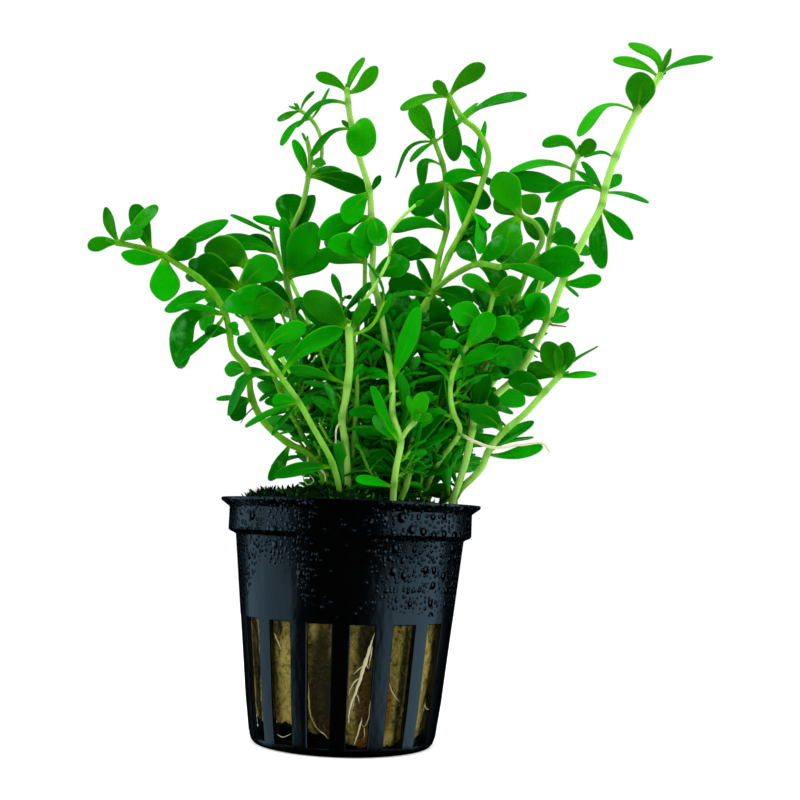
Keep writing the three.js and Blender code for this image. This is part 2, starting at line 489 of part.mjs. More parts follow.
// Grows one row of FILLERS: a stem that leans out as it rises, with crossed pairs of leaves
function grownStem([name, footAngle, footReach, leanAngle, lean, height, pairs, seed]) {
  const roll = dice(seed);
  const rad = THREE.MathUtils.degToRad;
  const foot = new THREE.Vector3(
    footReach * Math.cos(rad(footAngle)), footReach * Math.sin(rad(footAngle)), SOIL_LINE);
  const out = new THREE.Vector3(Math.cos(rad(leanAngle)), Math.sin(rad(leanAngle)), 0);
  const points = [];
  for (let step = 0; step <= FILLER_STEPS; step += 1) {
    const share = step / FILLER_STEPS;
    const sway = step === 0 ? 0 : roll(-1.2, 1.2);
    points.push(foot.clone()
      .addScaledVector(out, lean * share ** 1.5)
      .addScaledVector(new THREE.Vector3(-out.y, out.x, 0), sway)
      .add(new THREE.Vector3(0, 0, (height - SOIL_LINE) * share)));
  }
  const curve = new THREE.CatmullRomCurve3(points, false, 'centripetal');
  const leaves = [];
  for (let pair = 0; pair < pairs; pair += 1) {
    const share = THREE.MathUtils.lerp(FILLER_LOWEST_PAIR, 1, pair / (pairs - 1));
    const growth = curve.getTangent(share);
    const crossed = rad(leanAngle + 90 * pair + roll(-25, 25));
    for (const hand of [1, -1]) {
      const away = new THREE.Vector3(Math.cos(crossed), Math.sin(crossed), 0).multiplyScalar(hand);
      away.addScaledVector(growth, -away.dot(growth)).normalize();
      const rise = rad(THREE.MathUtils.lerp(FILLER_LOW_RISE, FILLER_HIGH_RISE, share) + roll(-14, 14));
      const reach = FILLER_LEAF * roll(0.82, 1.18) * (share === 1 ? 0.75 : 1);
      const tip = curve.getPoint(share)
        .addScaledVector(away, reach * Math.cos(rise))
        .addScaledVector(growth, reach * Math.sin(rise));
      tip.z = Math.max(tip.z, LOWEST_LEAF_TIP);
      leaves.push({
        foot: curve.getPoint(share).addScaledVector(growth, -LEAF_SUNK),
        tip,
        growth,
        seenWidth: FILLER_LEAF_WIDTH * roll(0.8, 1.25),
        lift: roll(0.04, 0.16),
      });
    }
  }
  return { name, footGirth: FILLER_GIRTH, tipGirth: FILLER_TIP_GIRTH, points, leaves };
}

// The wall's outer radius at a given height
function wallRadius(z) {
  return THREE.MathUtils.mapLinear(z, WALL_FOOT, WALL_HEAD, WALL_FOOT_RADIUS, WALL_HEAD_RADIUS);
}

// A slot's cutter: a tapering outline pushed out through the wall
function slotCutter(azimuth) {
  const half = THREE.MathUtils.degToRad(SLOT_ARC / 2);
  const head = wallRadius(SLOT_HEAD) * Math.sin(half);
  const foot = wallRadius(SLOT_FOOT) * Math.sin(half);
  const outline = new THREE.Shape([
    new THREE.Vector2(-foot, SLOT_FOOT),
    new THREE.Vector2(foot, SLOT_FOOT),
    new THREE.Vector2(head, SLOT_HEAD),
    new THREE.Vector2(-head, SLOT_HEAD),
  ]);
  const cutter = new THREE.ExtrudeGeometry(outline, { depth: LIP_RADIUS, bevelEnabled: false });
  cutter.rotateX(Math.PI / 2);
  cutter.rotateZ(Math.PI);
  cutter.translate(0, FLOOR_RADIUS - WALL - 2, 0);
  cutter.rotateZ(THREE.MathUtils.degToRad(azimuth - 90));
  return solidOf(cutter);
}

// A slot in the pot's floor
function floorCutter(azimuth) {
  const cutter = new THREE.BoxGeometry(FLOOR_SLOT_END - FLOOR_SLOT_START, FLOOR_SLOT_WIDTH, 4 * FLOOR);
  cutter.translate((FLOOR_SLOT_START + FLOOR_SLOT_END) / 2, 0, 0);
  cutter.rotateZ(THREE.MathUtils.degToRad(azimuth));
  return solidOf(cutter);
}

function netPot() {
  const profile = [
    [0, 0], [FLOOR_RADIUS, 0], [HEEL_RADIUS - 0.5, 0.7], [HEEL_RADIUS, HEEL],
    [WALL_FOOT_RADIUS, WALL_FOOT], [WALL_HEAD_RADIUS, WALL_HEAD],
    [BAND_RADIUS, BAND_FOOT], [BAND_RADIUS, BAND_HEAD],
    [LIP_RADIUS, POT_HEIGHT - 0.5], [LIP_RADIUS, POT_HEIGHT],
    [BAND_RADIUS - WALL + 0.6, POT_HEIGHT], [BAND_RADIUS - WALL, BAND_HEAD],
    [BAND_RADIUS - WALL, BAND_FOOT + 0.5], [WALL_HEAD_RADIUS - WALL, WALL_HEAD + 0.4],
    [WALL_FOOT_RADIUS - WALL, WALL_FOOT], [HEEL_RADIUS - WALL, HEEL],
    [FLOOR_RADIUS - WALL, FLOOR], [0, FLOOR],
  ].map(([radius, z]) => new THREE.Vector2(radius, z));
  const lathe = new THREE.LatheGeometry(profile, POT_FACETS);
  lathe.rotateX(Math.PI / 2);
  lathe.rotateZ(THREE.MathUtils.degToRad(FIRST_SLOT));
  let pot = solidOf(lathe);
  for (let slot = 0; slot < SLOTS; slot += 1) {
    pot = pot.subtract(slotCutter(FIRST_SLOT + (slot * 360) / SLOTS));
  }
  for (let slot = 0; slot < FLOOR_SLOTS; slot += 1) {
    pot = pot.subtract(floorCutter((slot * 360) / FLOOR_SLOTS));
  }
  return pot;
}

// The plug follows the pot's wall inside, and its foot rises to the viewer's left
function rockwoolPlug() {
  const levels = [0, 0.1, 0.45, 0.86, 0.885, 1];
  const rings = levels.map((level) => {
    const ring = [];
    for (let facet = 0; facet < PLUG_FACETS; facet += 1) {
      const turn = (facet / PLUG_FACETS) * 2 * Math.PI;
      const rise = 0.5 - 0.5 * Math.cos(turn - THREE.MathUtils.degToRad(-60));
      const foot = THREE.MathUtils.lerp(PLUG_FOOT_FRONT, PLUG_FOOT_SIDE, rise) + 0.5 * Math.sin(5 * turn);
      const z = THREE.MathUtils.lerp(foot, PLUG_HEAD, level);
      const wall = z > BAND_FOOT + 1 ? BAND_RADIUS : Math.min(wallRadius(z), WALL_HEAD_RADIUS);
      const heel = z < WALL_FOOT ? 0.055 * (WALL_FOOT - z) : 0;
      const crease = 0.2 + 0.2 * Math.sin(7 * turn + 3 * level) * Math.sin(4 * turn);
      const radius = wall - WALL - PLUG_AIR - heel - crease;
      ring.push(new THREE.Vector3(radius * Math.cos(turn), radius * Math.sin(turn), z));
    }
    return ring;
  });
  return loft(rings);
}

// A low tuft of moss on the plug's left shoulder
function mossTuft() {
  const tuft = new THREE.SphereGeometry(1, 10, 5);
  tuft.rotateX(Math.PI / 2);
  tuft.scale(7.6, 5.6, 3.7);
  tuft.rotateZ(THREE.MathUtils.degToRad(28));
  const ground = new THREE.BoxGeometry(60, 60, 20);
  ground.translate(-15, -7, PLUG_HEAD + CLEARANCE - 10);
  tuft.translate(-15.0, -9.4, PLUG_HEAD + CLEARANCE);
  return solidOf(tuft).subtract(solidOf(ground));
}

// A root that runs down inside the wall's openings
function slotRoot([, girth, places]) {
  const points = places.map(([azimuth, z]) => {
    const turn = THREE.MathUtils.degToRad(azimuth);
    const reach = wallRadius(z) - WALL / 2 - (z < WALL_FOOT ? 0.055 * (WALL_FOOT - z) : 0);
    return new THREE.Vector3(reach * Math.cos(turn), reach * Math.sin(turn), z);
  });
  return tube(points, girth, girth * 0.7, STEM_SIDES);
}

// The root that one shoot sends out into the air
function aerialRoot(margin = 0) {
  const points = AERIAL_ROOT.map((place) => sighted(...place));
  return tube(points, AERIAL_ROOT_GIRTH, AERIAL_ROOT_GIRTH * 0.8, STEM_SIDES, margin);
}

// Tells whether the boxes round two solids meet
function boxesMeet(one, other) {
  const a = one.boundingBox();
  const b = other.boundingBox();
  return [0, 1, 2].every((axis) => a.min[axis] <= b.max[axis] && b.min[axis] <= a.max[axis]);
}

// The largest single body of a solid that cutting may have split
function largestBody(solid) {
  return solid.decompose().sort((a, b) => b.volume() - a.volume())[0];
}

addPiece('net_pot', netPot(), 'pot');
addPiece('rockwool_plug', rockwoolPlug(), 'rockwool');
for (const root of SLOT_ROOTS) {
  addPiece(root[0], slotRoot(root), 'root');
}

// Cuts away what would touch another shoot
function cleared(solid, name) {
  return obstacles
    .filter((obstacle) => obstacle.name !== name && boxesMeet(solid, obstacle.solid))
    .reduce((rest, obstacle) => rest.subtract(obstacle.solid), solid);
}

// Leaves keep clear of every other shoot's stem, and of the leaves of the shoots grown before
const stems = [...SHOOTS.map(plannedStem), ...FILLERS.map(grownStem)];
const names = [...new Set(stems.map((stem) => stem.name))];
const obstacles = stems.map((stem) => ({
  name: stem.name,
  solid: tube(stem.points, stem.footGirth, stem.tipGirth, STEM_SIDES, CLEARANCE),
}));
obstacles.push({ name: AERIAL_ROOT_BEARER, solid: aerialRoot(CLEARANCE) });
for (const name of names) {
  const own = stems.filter((stem) => stem.name === name);
  let shoot = own.map((stem) => tube(stem.points, stem.footGirth, stem.tipGirth, STEM_SIDES))
    .reduce((all, stem) => all.add(stem));
  if (name === AERIAL_ROOT_BEARER) {
    shoot = shoot.add(aerialRoot());
  }
  const swollen = [];
  for (const leaf of own.flatMap((stem) => stem.leaves)) {
    shoot = shoot.add(cleared(blade(leaf), name));
    swollen.push({ name, solid: blade(leaf, CLEARANCE) });
  }
  obstacles.push(...swollen);
  addPiece(name, largestBody(shoot), 'leaf');
}
addPiece('moss_tuft', largestBody(cleared(mossTuft(), 'moss_tuft')), 'moss');

export default part;
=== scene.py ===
"""Compact water hyssop that grows in a plug of rockwool in a slotted net pot.

Lengths are in millimetres until a mesh is made, and metres in Blender. +Z is up, the
origin is the centre of the pot's underside, and the viewer stands towards -Y.
"""

import logging
import math
import random
from dataclasses import dataclass, field
from enum import Enum
from typing import Any, Iterator, Mapping, Optional, Sequence, Union

import bpy
from mathutils import Matrix, Quaternion, Vector, noise


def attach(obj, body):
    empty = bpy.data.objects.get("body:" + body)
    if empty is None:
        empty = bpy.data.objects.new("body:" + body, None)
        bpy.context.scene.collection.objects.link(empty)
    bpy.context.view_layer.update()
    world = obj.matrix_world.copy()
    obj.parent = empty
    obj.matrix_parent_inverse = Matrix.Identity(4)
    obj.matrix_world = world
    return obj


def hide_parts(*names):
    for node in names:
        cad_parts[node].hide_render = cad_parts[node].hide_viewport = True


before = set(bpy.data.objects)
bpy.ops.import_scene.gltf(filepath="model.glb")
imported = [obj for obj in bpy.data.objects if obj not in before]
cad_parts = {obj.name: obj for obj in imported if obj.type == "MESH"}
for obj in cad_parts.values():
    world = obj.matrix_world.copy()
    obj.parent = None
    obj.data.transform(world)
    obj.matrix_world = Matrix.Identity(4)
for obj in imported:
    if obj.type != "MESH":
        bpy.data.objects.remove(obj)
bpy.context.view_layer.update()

log = logging.getLogger("water_hyssop")

MM = 0.001
BODY = "root"
VIEWPOINT = Vector((9.5, -263.8, 44.65))

Colour = tuple[float, float, float]
Pair = tuple[float, float]
Row = tuple[float, float, bool]
Strand = tuple[float, float, tuple[Pair, ...]]
Settings = Optional[Mapping[str, Any]]
Socket = bpy.types.NodeSocket
Material = bpy.types.Material
Thing = bpy.types.Object
Number = Union[float, "Level"]

# Each shoot: name, girth at the foot and at the tip, and its stem from the plug up, as rows of
# x, depth, z and the leaves that leave the stem there. Each leaf: x, depth and z of its tip, its width
# as the viewer sees it, how far it bows towards the growing tip as a share of its length, and which
# side the viewer sees: above 0 the upper one, below 0 the underside, and at 0 the one that lies so
# by nature. Entries with one name are forks of one shoot.
SHOOTS: list[list[Any]] = [
    ["shoot_right_tall", 0.98, 0.75, [
        [21.4, -9, 50.9], [23.0, -10, 55.8], [24.1, -10.5, 59.9],
        [25.3, -10.5, 66.6, [31.4, -13, 68.8, 2.6, 0.05, 0.6]],
        [25.8, -10, 69.5, [28.3, -13, 79.2, 4.2, 0.0, 0.8], [22.5, -14, 71.7, 2.1, 0.1, 0.5]],
        [34.9, -7, 78.9, [30.0, -16, 84.5, 6.0, 0.1, 0.6]], [38.3, -6, 85.4],
        [40.8, -5, 90.6, [45.4, -7, 93.6, 0.9, 0.0, 0.0], [36.0, -13, 96.0, 6.0, 0.1, 0.7]],
        [44.0, -4, 99.7, [52.3, -6, 100.5, 3.4, -0.06, 0.35], [47.4, -2, 96.1, 0.9, 0.0, 0.0]],
        [48.8, -3, 110.1],
        [52.0, -2, 116.6, [52.6, 2, 102.5, 4.4, -0.08, 0.95], [59.0, -4, 109.2, 3.5, 0.0, 0.45]],
        [52.6, -2, 120.0, [39.6, -5, 117.0, 3.6, 0.17, 0.2], [62.3, 0, 117.5, 1.4, 0.06, 0.0],
         [56.2, 1, 123.6, 3.0, 0.05, 0.7], [47.3, 1, 126.2, 2.0, 0.0, -0.4]],
        [54.8, -1, 127.5, [47.8, 0, 127.3, 0.9, 0.22, 0.0]],
        [59.5, 1, 138.3, [46.5, -2, 131.9, 1.7, 0.26, 0.1], [60.8, -3, 147.0, 7.2, 0.05, 1.0]],
        [64.3, 2, 146.4, [53.8, 0, 149.5, 2.8, 0.1, 0.1], [57.2, 5, 153.6, 3.0, 0.22, 0.2],
         [66.7, 1, 152.8, 1.8, 0.0, 0.7], [76.1, 2, 151.0, 2.0, 0.12, 0.0]],
    ]],
    ["shoot_right_second", 0.95, 0.5, [
        [15.5, 4, 49.5], [20.0, 6, 60.0],
        [26.0, 8, 71.0, [36.5, 13, 73.0, 5.2, 0.1, 0.4], [17.5, 14, 77.0, 5.0, 0.1, 0.3]],
        [32.0, 9, 81.5, [37.6, 2, 85.0, 4.4, 0.1, 0.8], [26.5, 18, 86.0, 5.0, 0.1, 0.2]],
        [36.5, 9, 91.0, [45.5, 12, 91.8, 4.6, 0.1, 0.5], [30.0, 4, 95.0, 5.6, 0.1, 0.8]],
        [39.6, 8, 100.5, [35.0, 17, 106.0, 5.0, 0.1, 0.3], [48.5, 10, 103.8, 3.4, 0.05, 0.3]],
        [40.9, 7, 108.9, [46.4, 1.5, 109.4, 5.2, 0.05, 0.9], [37.0, 13, 113.0, 4.0, 0.1, 0.4]],
        [42.6, 6, 116.2], [45.2, 5, 120.8, [31.6, 4, 122.2, 5.4, 0.0, -0.6]],
        [45.7, 5, 124.9, [31.6, 3, 123.2, 2.0, 0.11, 0.2], [50.8, 8, 121.4, 2.2, 0.03, 0.0]],
        [46.7, 5, 127.6, [38.6, 3, 130.0, 3.4, 0.28, 0.0], [50.1, 3, 131.2, 3.8, 0.0, 0.8]],
    ]],
    ["shoot_right_round", 0.9, 0.55, [
        [12.5, -4, 49.5], [16.5, -4.5, 60.0],
        [22.5, -5, 70.0, [16.0, -11, 75.0, 5.0, 0.1, 0.7], [31.0, -12, 73.0, 4.6, 0.1, 0.6]],
        [28.5, -5, 82.0, [20.5, -12, 86.5, 6.0, 0.1, 0.8], [36.0, 2, 81.0, 5.0, 0.1, 0.4]],
        [33.5, -5, 94.0, [24.0, -10, 95.6, 6.4, 0.1, 0.8], [40.5, -12, 92.5, 5.4, 0.1, 0.6]],
        [36.8, -5, 103.4, [47.6, -10, 103.6, 7.6, 0.05, 0.85], [29.0, 0, 105.0, 5.0, 0.1, 0.5]],
        [39.2, -5, 108.6], [37.6, -5, 112.0],
        [34.0, -5, 114.0, [29.0, -6, 123.1, 7.6, 0.0, 0.8], [31.4, -10, 104.3, 7.4, 0.08, 0.95],
         [38.8, -2, 108.4, 3.4, 0.1, 0.8], [29.0, -3, 118.0, 5.8, 0.0, 0.8]],
        [33.3, -4, 118.2, [38.5, -3, 115.4, 5.2, 0.05, 0.8]],
    ]],
    ["shoot_right_low", 0.95, 0.6, [
        [21.9, -5, 51.3], [23.3, -8, 53.8], [25.8, -11, 56.3], [27.6, -12.5, 58.6],
        [28.8, -14, 61.8, [40.5, -15, 63.3, 3.2, -0.08, 0.25], [38.4, -11, 65.3, 0.9, 0.1, 0.0],
         [38.4, -12, 68.7, 2.8, 0.05, 0.5]], [32.2, -14, 66.4, [24.5, -18, 70.5, 5.0, 0.1, 0.8]],
        [36.2, -14, 70.0],
        [40.6, -13, 75.2, [34.8, -14, 75.6, 3.2, 0.0, 0.3], [33.0, -9, 78.0, 5.0, 0.1, 0.7]],
        [43.8, -12, 78.8, [51.7, -12, 79.4, 1.9, 0.02, 0.1], [51.8, -9, 85.5, 0.9, 0.07, 0.0],
         [45.4, -13, 86.2, 5.0, 0.0, 0.9], [40.3, -13, 86.0, 5.2, 0.05, 0.9],
         [36.6, -10, 80.2, 4.4, 0.05, 0.7]],
    ]],
    ["shoot_right_inner", 0.72, 0.5, [
        [14.6, -4, 49.5], [17.6, -7, 58.0, [12.0, -8, 66.0, 2.4, 0.1, 0.5]], [22.6, -14, 66.2],
        [21.3, -15, 69.3], [20.4, -15, 72.6],
        [20.3, -15, 76.3, [12.1, -12, 81.6, 1.7, 0.14, 0.5], [25.3, -13, 79.2, 2.3, 0.16, 0.6]],
        [21.2, -14.5, 79.9, [30.9, -15, 84.3, 3.8, 0.05, 0.6], [16.5, -12, 72.4, 2.6, 0.12, 0.5]],
        [23.6, -13.5, 84.3, [28.8, -17, 91.8, 5.1, 0.0, 0.8], [17.5, -16, 84.6, 2.3, 0.06, 0.5]],
        [27.2, -12, 89.0, [19.5, -17, 92.0, 6.0, 0.1, 0.8], [34.5, -16, 87.5, 6.2, 0.1, 0.7]],
        [29.0, -11, 96.0, [35.0, -17, 99.0, 5.0, 0.1, 0.5], [22.0, -14, 99.6, 3.6, 0.1, 0.3]],
    ]],
    ["shoot_centre_right", 0.88, 0.6, [
        [10.4, -13.5, 50.9], [11.5, -14, 53.9],
        [12.0, -14, 56.9, [7.4, -16, 63.9, 1.4, 0.0, 0.4], [14.5, -15, 62.4, 1.1, 0.0, 0.2]],
        [12.4, -13.5, 60.4, [19.5, -12, 70.9, 2.7, 0.05, 0.5], [21.4, -14, 66.4, 2.2, 0.04, 0.5]],
        [12.2, -12, 64.6, [10.0, -9, 72.2, 2.3, 0.0, 0.4]],
        [11.6, -11.5, 69.9, [15.4, -9, 75.1, 2.3, 0.1, 0.5]],
        [10.2, -11, 77.0, [17.0, -5, 79.0, 5.0, 0.1, 0.5], [12.2, -14, 94.6, 4.4, 0.0, 1.0]],
        [9.9, -10, 84.0, [18.8, -13, 84.4, 5.4, 0.1, 0.8], [3.0, -4, 88.0, 5.0, 0.1, 0.4]],
        [12.0, -9, 90.0],
        [15.8, -8, 96.2, [6.0, -10, 97.6, 5.6, 0.1, 0.8], [24.6, -13, 93.6, 6.0, 0.1, 0.8],
         [18.6, -4, 87.0, 5.6, 0.0, 0.8]], [19.0, -7, 104.3, [25.6, -4, 112.5, 3.0, 0.0, 0.4]],
        [21.6, -6, 109.5, [28.0, -7, 111.5, 2.6, 0.0, 0.3]],
        [23.7, -5, 114.6, [25.6, -9, 104.7, 2.6, 0.12, 0.6], [27.4, -8, 110.3, 2.0, 0.04, 0.4]],
        [26.3, -4, 122.8, [17.0, -5, 121.2, 3.6, 0.08, 0.2], [23.2, -6, 126.2, 2.2, 0.0, 0.5],
         [27.8, -1, 120.4, 1.9, 0.0, 0.3], [21.0, -3, 128.9, 2.4, 0.05, 0.6],
         [26.0, -2, 134.6, 1.4, -0.12, 0.3]], [26.9, -4, 127.2], [24.2, -4, 132.4],
        [21.0, -4, 135.0, [35.1, -2, 140.8, 2.4, 0.1, 0.0]],
        [17.6, -4, 140.2, [25.5, -5, 147.4, 4.4, 0.08, 0.6], [14.3, -7, 143.1, 3.2, 0.0, 0.4],
         [7.2, -5, 136.4, 2.6, 0.1, 0.1], [19.4, 0, 125.2, 4.6, 0.04, -0.9]],
    ]],
    ["shoot_centre_right", 0.8, 0.5, [
        [15.8, -8, 96.2], [16.9, -6.5, 103.9, [6.5, -9, 105.6, 5.4, 0.08, 0.7]],
        [18.3, -3.5, 110.2, [6.2, -8, 109.2, 3.8, 0.12, 0.0], [15.8, -8, 114.5, 2.8, 0.05, 0.6]],
        [18.0, -2, 116.4],
        [17.7, -2, 121.0, [25.8, -5, 104.8, 4.2, 0.04, 0.9], [10.0, 0, 113.9, 8.0, 0.0, -0.8],
         [27.6, 1, 115.4, 5.4, 0.05, 0.7]], [16.9, -2, 124.6, [12.4, -6, 119.2, 2.7, 0.4, 0.1]],
        [14.8, -2, 130.0, [10.0, -1, 137.6, 5.0, 0.0, 0.9], [6.6, -1, 121.0, 0.9, 0.24, 0.0],
         [9.7, -4, 124.8, 1.6, 0.04, 0.0], [24.2, 0, 138.7, 1.5, -0.03, 0.1]],
    ]],
    ["shoot_centre_right", 0.85, 0.6, [
        [15.8, -8, 96.2], [20.6, -10.5, 100.2],
        [25.6, -12, 102.6, [31.2, -14, 109.0, 4.2, 0.05, 0.5], [21.0, -13, 107.0, 4.0, 0.05, 0.8],
         [31.5, -9, 98.0, 4.6, 0.1, 0.7]],
        [30.0, -13, 102.0, [42.2, -16, 99.8, 3.2, 0.08, -0.3], [37.5, -10, 107.5, 4.0, 0.1, 0.6]],
    ]],
    ["shoot_centre_tall", 0.6, 0.5, [
        [10.0, -17.5, 63.5], [11.3, -18, 65.8],
        [12.8, -18.5, 67.5, [14.6, -20, 74.1, 3.8, 0.0, 0.9], [16.5, -20, 69.1, 2.1, 0.12, 0.6],
         [11.2, -17, 73.2, 1.7, 0.05, 0.4]],
    ]],
    ["shoot_centre_tall", 0.88, 0.6, [
        [8.8, -17, 51.0], [8.9, -17.2, 54.0, [0.6, -20, 54.7, 2.3, 0.02, 0.3]], [9.2, -17.4, 57.4],
        [10.0, -17.5, 63.5, [4.0, -19, 68.6, 3.3, 0.03, 0.6], [3.1, -21, 75.0, 2.2, -0.08, 0.7],
         [10.8, -16, 71.5, 1.4, 0.0, 0.3]], [8.8, -17, 66.8],
        [8.0, -16.5, 69.0, [-1.4, -19, 68.9, 2.9, 0.05, 0.6]], [7.8, -16, 72.9],
        [7.6, -15.5, 76.8, [12.7, -20, 92.6, 4.2, 0.0, 0.9], [1.1, -12, 78.0, 2.8, 0.1, 0.5]],
        [6.1, -14, 84.1, [2.8, -12, 80.7, 2.0, 0.05, 0.4], [8.6, -9, 86.9, 2.3, 0.0, 0.4]],
        [4.2, -13, 93.0, [11.6, -6, 92.4, 6.2, 0.05, 0.8]],
        [2.6, -11.5, 99.0, [10.5, -16, 102.5, 5.6, 0.1, 0.8]],
        [2.4, -10, 105.7, [-7.5, -14, 106.0, 5.6, 0.05, 0.6]],
        [1.7, -9, 112.6, [3.7, -14, 105.7, 4.6, 0.12, 1.0], [-9.4, -11, 106.9, 5.6, 0.08, 0.5],
         [-0.3, -13, 103.1, 5.4, 0.1, 1.0]],
        [1.1, -8.5, 118.0, [3.4, -9, 121.5, 1.8, 0.0, 0.4], [-4.4, -12, 111.0, 5.6, 0.05, 0.9]],
        [-1.6, -8, 126.0],
        [-3.3, -8, 132.2, [0.1, -13, 125.9, 7.4, 0.38, 1.0], [-12.0, -9, 125.1, 1.7, 0.18, 0.1],
         [-5.6, -7, 133.6, 1.4, 0.0, 0.0]], [-4.4, -8, 137.8, [-15.5, -9, 131.6, 1.5, 0.2, 0.0]],
        [-4.7, -8, 140.4, [-11.8, -9, 143.6, 3.1, 0.1, 0.1], [-1.3, -6, 148.1, 2.2, 0.05, 0.4],
         [1.9, -10, 146.0, 3.6, -0.12, 0.6]],
    ]],
    ["shoot_left_upper", 0.95, 0.5, [
        [-3.4, 1, 49.5], [-6.4, 0, 60.0, [-8.6, 8, 64.5, 4.6, 0.1, 0.5]],
        [-9.8, -1.5, 71.0, [-3.5, -7, 74.5, 5.0, 0.1, 0.7], [-18.5, 4, 74.0, 5.0, 0.1, 0.4]],
        [-12.5, -3, 82.0, [-3.0, -10, 86.6, 6.6, 0.1, 0.8], [-19.5, -8, 84.0, 5.0, 0.1, 0.7]],
        [-14.8, -4, 92.0, [-21.6, -9, 96.6, 4.6, 0.05, 0.7], [-29.8, -21, 91.0, 7.0, 0.06, 0.95],
         [-8.0, 2, 91.0, 5.0, 0.1, 0.6]],
        [-16.2, -5, 98.2, [-10.4, -11, 110.4, 7.4, 0.0, 1.0], [-17.8, -9, 111.3, 2.8, 0.0, 0.6],
         [-21.6, -10, 98.8, 3.6, 0.05, 0.6], [-7.1, -3, 103.5, 5.4, 0.03, 0.8]],
        [-15.6, -5, 104.0, [-11.3, -4, 116.6, 3.4, 0.0, 0.6]],
        [-15.4, -5, 108.4, [-16.4, -2, 116.6, 7.2, 0.0, 0.95], [-24.1, -6, 111.1, 2.4, 0.1, 0.1]],
        [-13.3, -5, 114.4],
        [-12.3, -5, 121.2, [-16.1, -5, 128.8, 2.6, 0.0, 0.3], [1.0, -2, 117.8, 4.8, 0.05, 0.5],
         [-4.2, 1, 120.9, 3.6, 0.1, 0.1]], [-12.0, -5, 124.4, [-8.7, -8, 123.6, 2.6, 0.0, 0.1]],
        [-12.9, -5, 128.4],
    ]],
    ["shoot_left_upper", 0.55, 0.4, [
        [-12.3, -5, 121.2], [-10.0, -4, 123.6], [-9.7, -3.5, 127.4], [-10.6, -3, 131.0],
        [-12.8, -3, 134.0, [-8.6, -2, 140.8, 0.7, -0.04, 0.0], [-18.7, -4, 127.3, 1.7, 0.14, 0.1]],
        [-15.1, -3, 135.6, [-11.9, -2, 139.9, 0.8, 0.1, 0.0], [-19.8, -4, 133.0, 1.8, 0.06, 0.2],
         [-17.4, -2, 136.3, 0.8, 0.0, 0.0]],
    ]],
    ["shoot_left_upper", 0.6, 0.45, [
        [-16.2, -5, 98.2],
        [-18.3, -3.5, 103.4, [-25.0, -1, 106.6, 4.2, 0.05, 0.7], [-31.3, -2, 105.3, 4.4, 0.08, 0.3]],
        [-19.8, -3, 108.0, [-29.0, -3, 111.4, 1.0, 0.0, 0.0]],
    ]],
    ["shoot_left_long", 0.92, 0.6, [
        [-4.4, -12.5, 49.5], [-6.9, -13.2, 56.5], [-9.9, -14.0, 60.0],
        [-14.2, -14.5, 62.1, [-17.9, -16, 53.9, 3.0, 0.0, 0.5]], [-19.5, -15, 66.4],
        [-22.4, -15, 71.6, [-30.0, -16, 70.9, 1.3, 0.05, 0.0], [-26.4, -18, 66.6, 4.6, 0.15, 0.4]],
        [-23.7, -15, 77.8, [-25.4, -17, 71.8, 2.6, 0.05, 0.6], [-28.5, -12, 77.6, 3.8, 0.05, -0.7]],
        [-27.0, -15, 81.6],
        [-27.9, -15, 85.8, [-33.2, -18, 85.6, 3.2, 0.1, 0.6], [-26.7, -16, 87.9, 2.2, 0.02, 0.8],
         [-26.0, -14, 86.2, 2.8, 0.0, 0.7]],
        [-29.2, -15, 90.0, [-39.5, -18, 90.8, 2.0, 0.02, -0.3], [-38.5, -19, 77.2, 5.4, 0.32, 0.9],
         [-38.8, -22, 78.2, 2.4, -0.04, 0.5]],
        [-31.6, -14.5, 93.8, [-42.2, -11, 89.8, 3.6, 0.1, 0.6], [-33.3, -10, 85.5, 3.6, 0.05, 0.7]],
        [-35.2, -14, 97.2, [-38.0, -10, 97.4, 2.4, 0.0, 0.4]], [-40.0, -13.5, 100.1],
        [-43.2, -13, 102.0, [-29.3, -12, 110.2, 3.7, 0.03, -0.45], [-36.1, -16, 105.2, 5.2, -0.1, 0.8],
         [-52.3, -15, 101.9, 3.8, -0.1, 0.4], [-42.4, -17, 91.7, 6.8, 0.02, 0.95]],
        [-46.4, -12.5, 103.0, [-49.8, -12, 113.1, 4.5, 0.0, 0.9], [-47.8, -8, 109.8, 2.2, 0.0, 0.4]],
        [-53.3, -12, 104.3, [-59.6, -13, 102.9, 3.5, 0.1, 0.6], [-56.4, -10, 112.1, 2.8, 0.05, 0.7],
         [-48.0, -14, 107.6, 3.6, 0.1, 0.3], [-44.8, -15, 112.7, 3.0, 0.0, 0.7]],
    ]],
    ["shoot_left_thick", 0.8, 0.5, [
        [-2.0, -17.5, 49.5], [-4.3, -18.5, 57.8, [-16.8, -21, 54.6, 3.2, 0.04, 0.4]], [-8.6, -19.5, 65.1],
        [-12.4, -19.5, 71.2, [-23.5, -20, 65.1, 1.4, 0.04, 0.0], [-18.0, -21, 71.5, 3.3, 0.0, 0.8],
         [-17.7, -21, 63.5, 1.4, 0.04, 0.2]],
        [-16.6, -19, 76.7, [-3.4, -22, 86.9, 4.2, 0.1, 0.75], [-27.3, -20, 67.4, 1.7, 0.3, 0.3]],
        [-20.4, -16, 82.2, [-11.5, -20, 87.6, 4.6, 0.1, 0.7], [-21.0, -10, 90.0, 5.6, 0.0, 0.8]],
        [-24.6, -13, 88.6, [-17.0, -11, 93.0, 6.0, 0.1, 0.7]],
    ]],
    ["shoot_left_second", 0.66, 0.55, [
        [-4.6, -6, 49.5], [-7.6, -8, 58.5, [-3.0, -12, 63.0, 3.0, 0.1, 0.5]],
        [-10.6, -9, 63.0, [-18.0, -6, 66.0, 2.2, 0.1, 0.4]],
        [-13.6, -9.5, 68.2, [-5.5, -12, 73.5, 2.8, 0.1, 0.5], [-19.5, -6, 71.0, 2.4, 0.1, 0.5]],
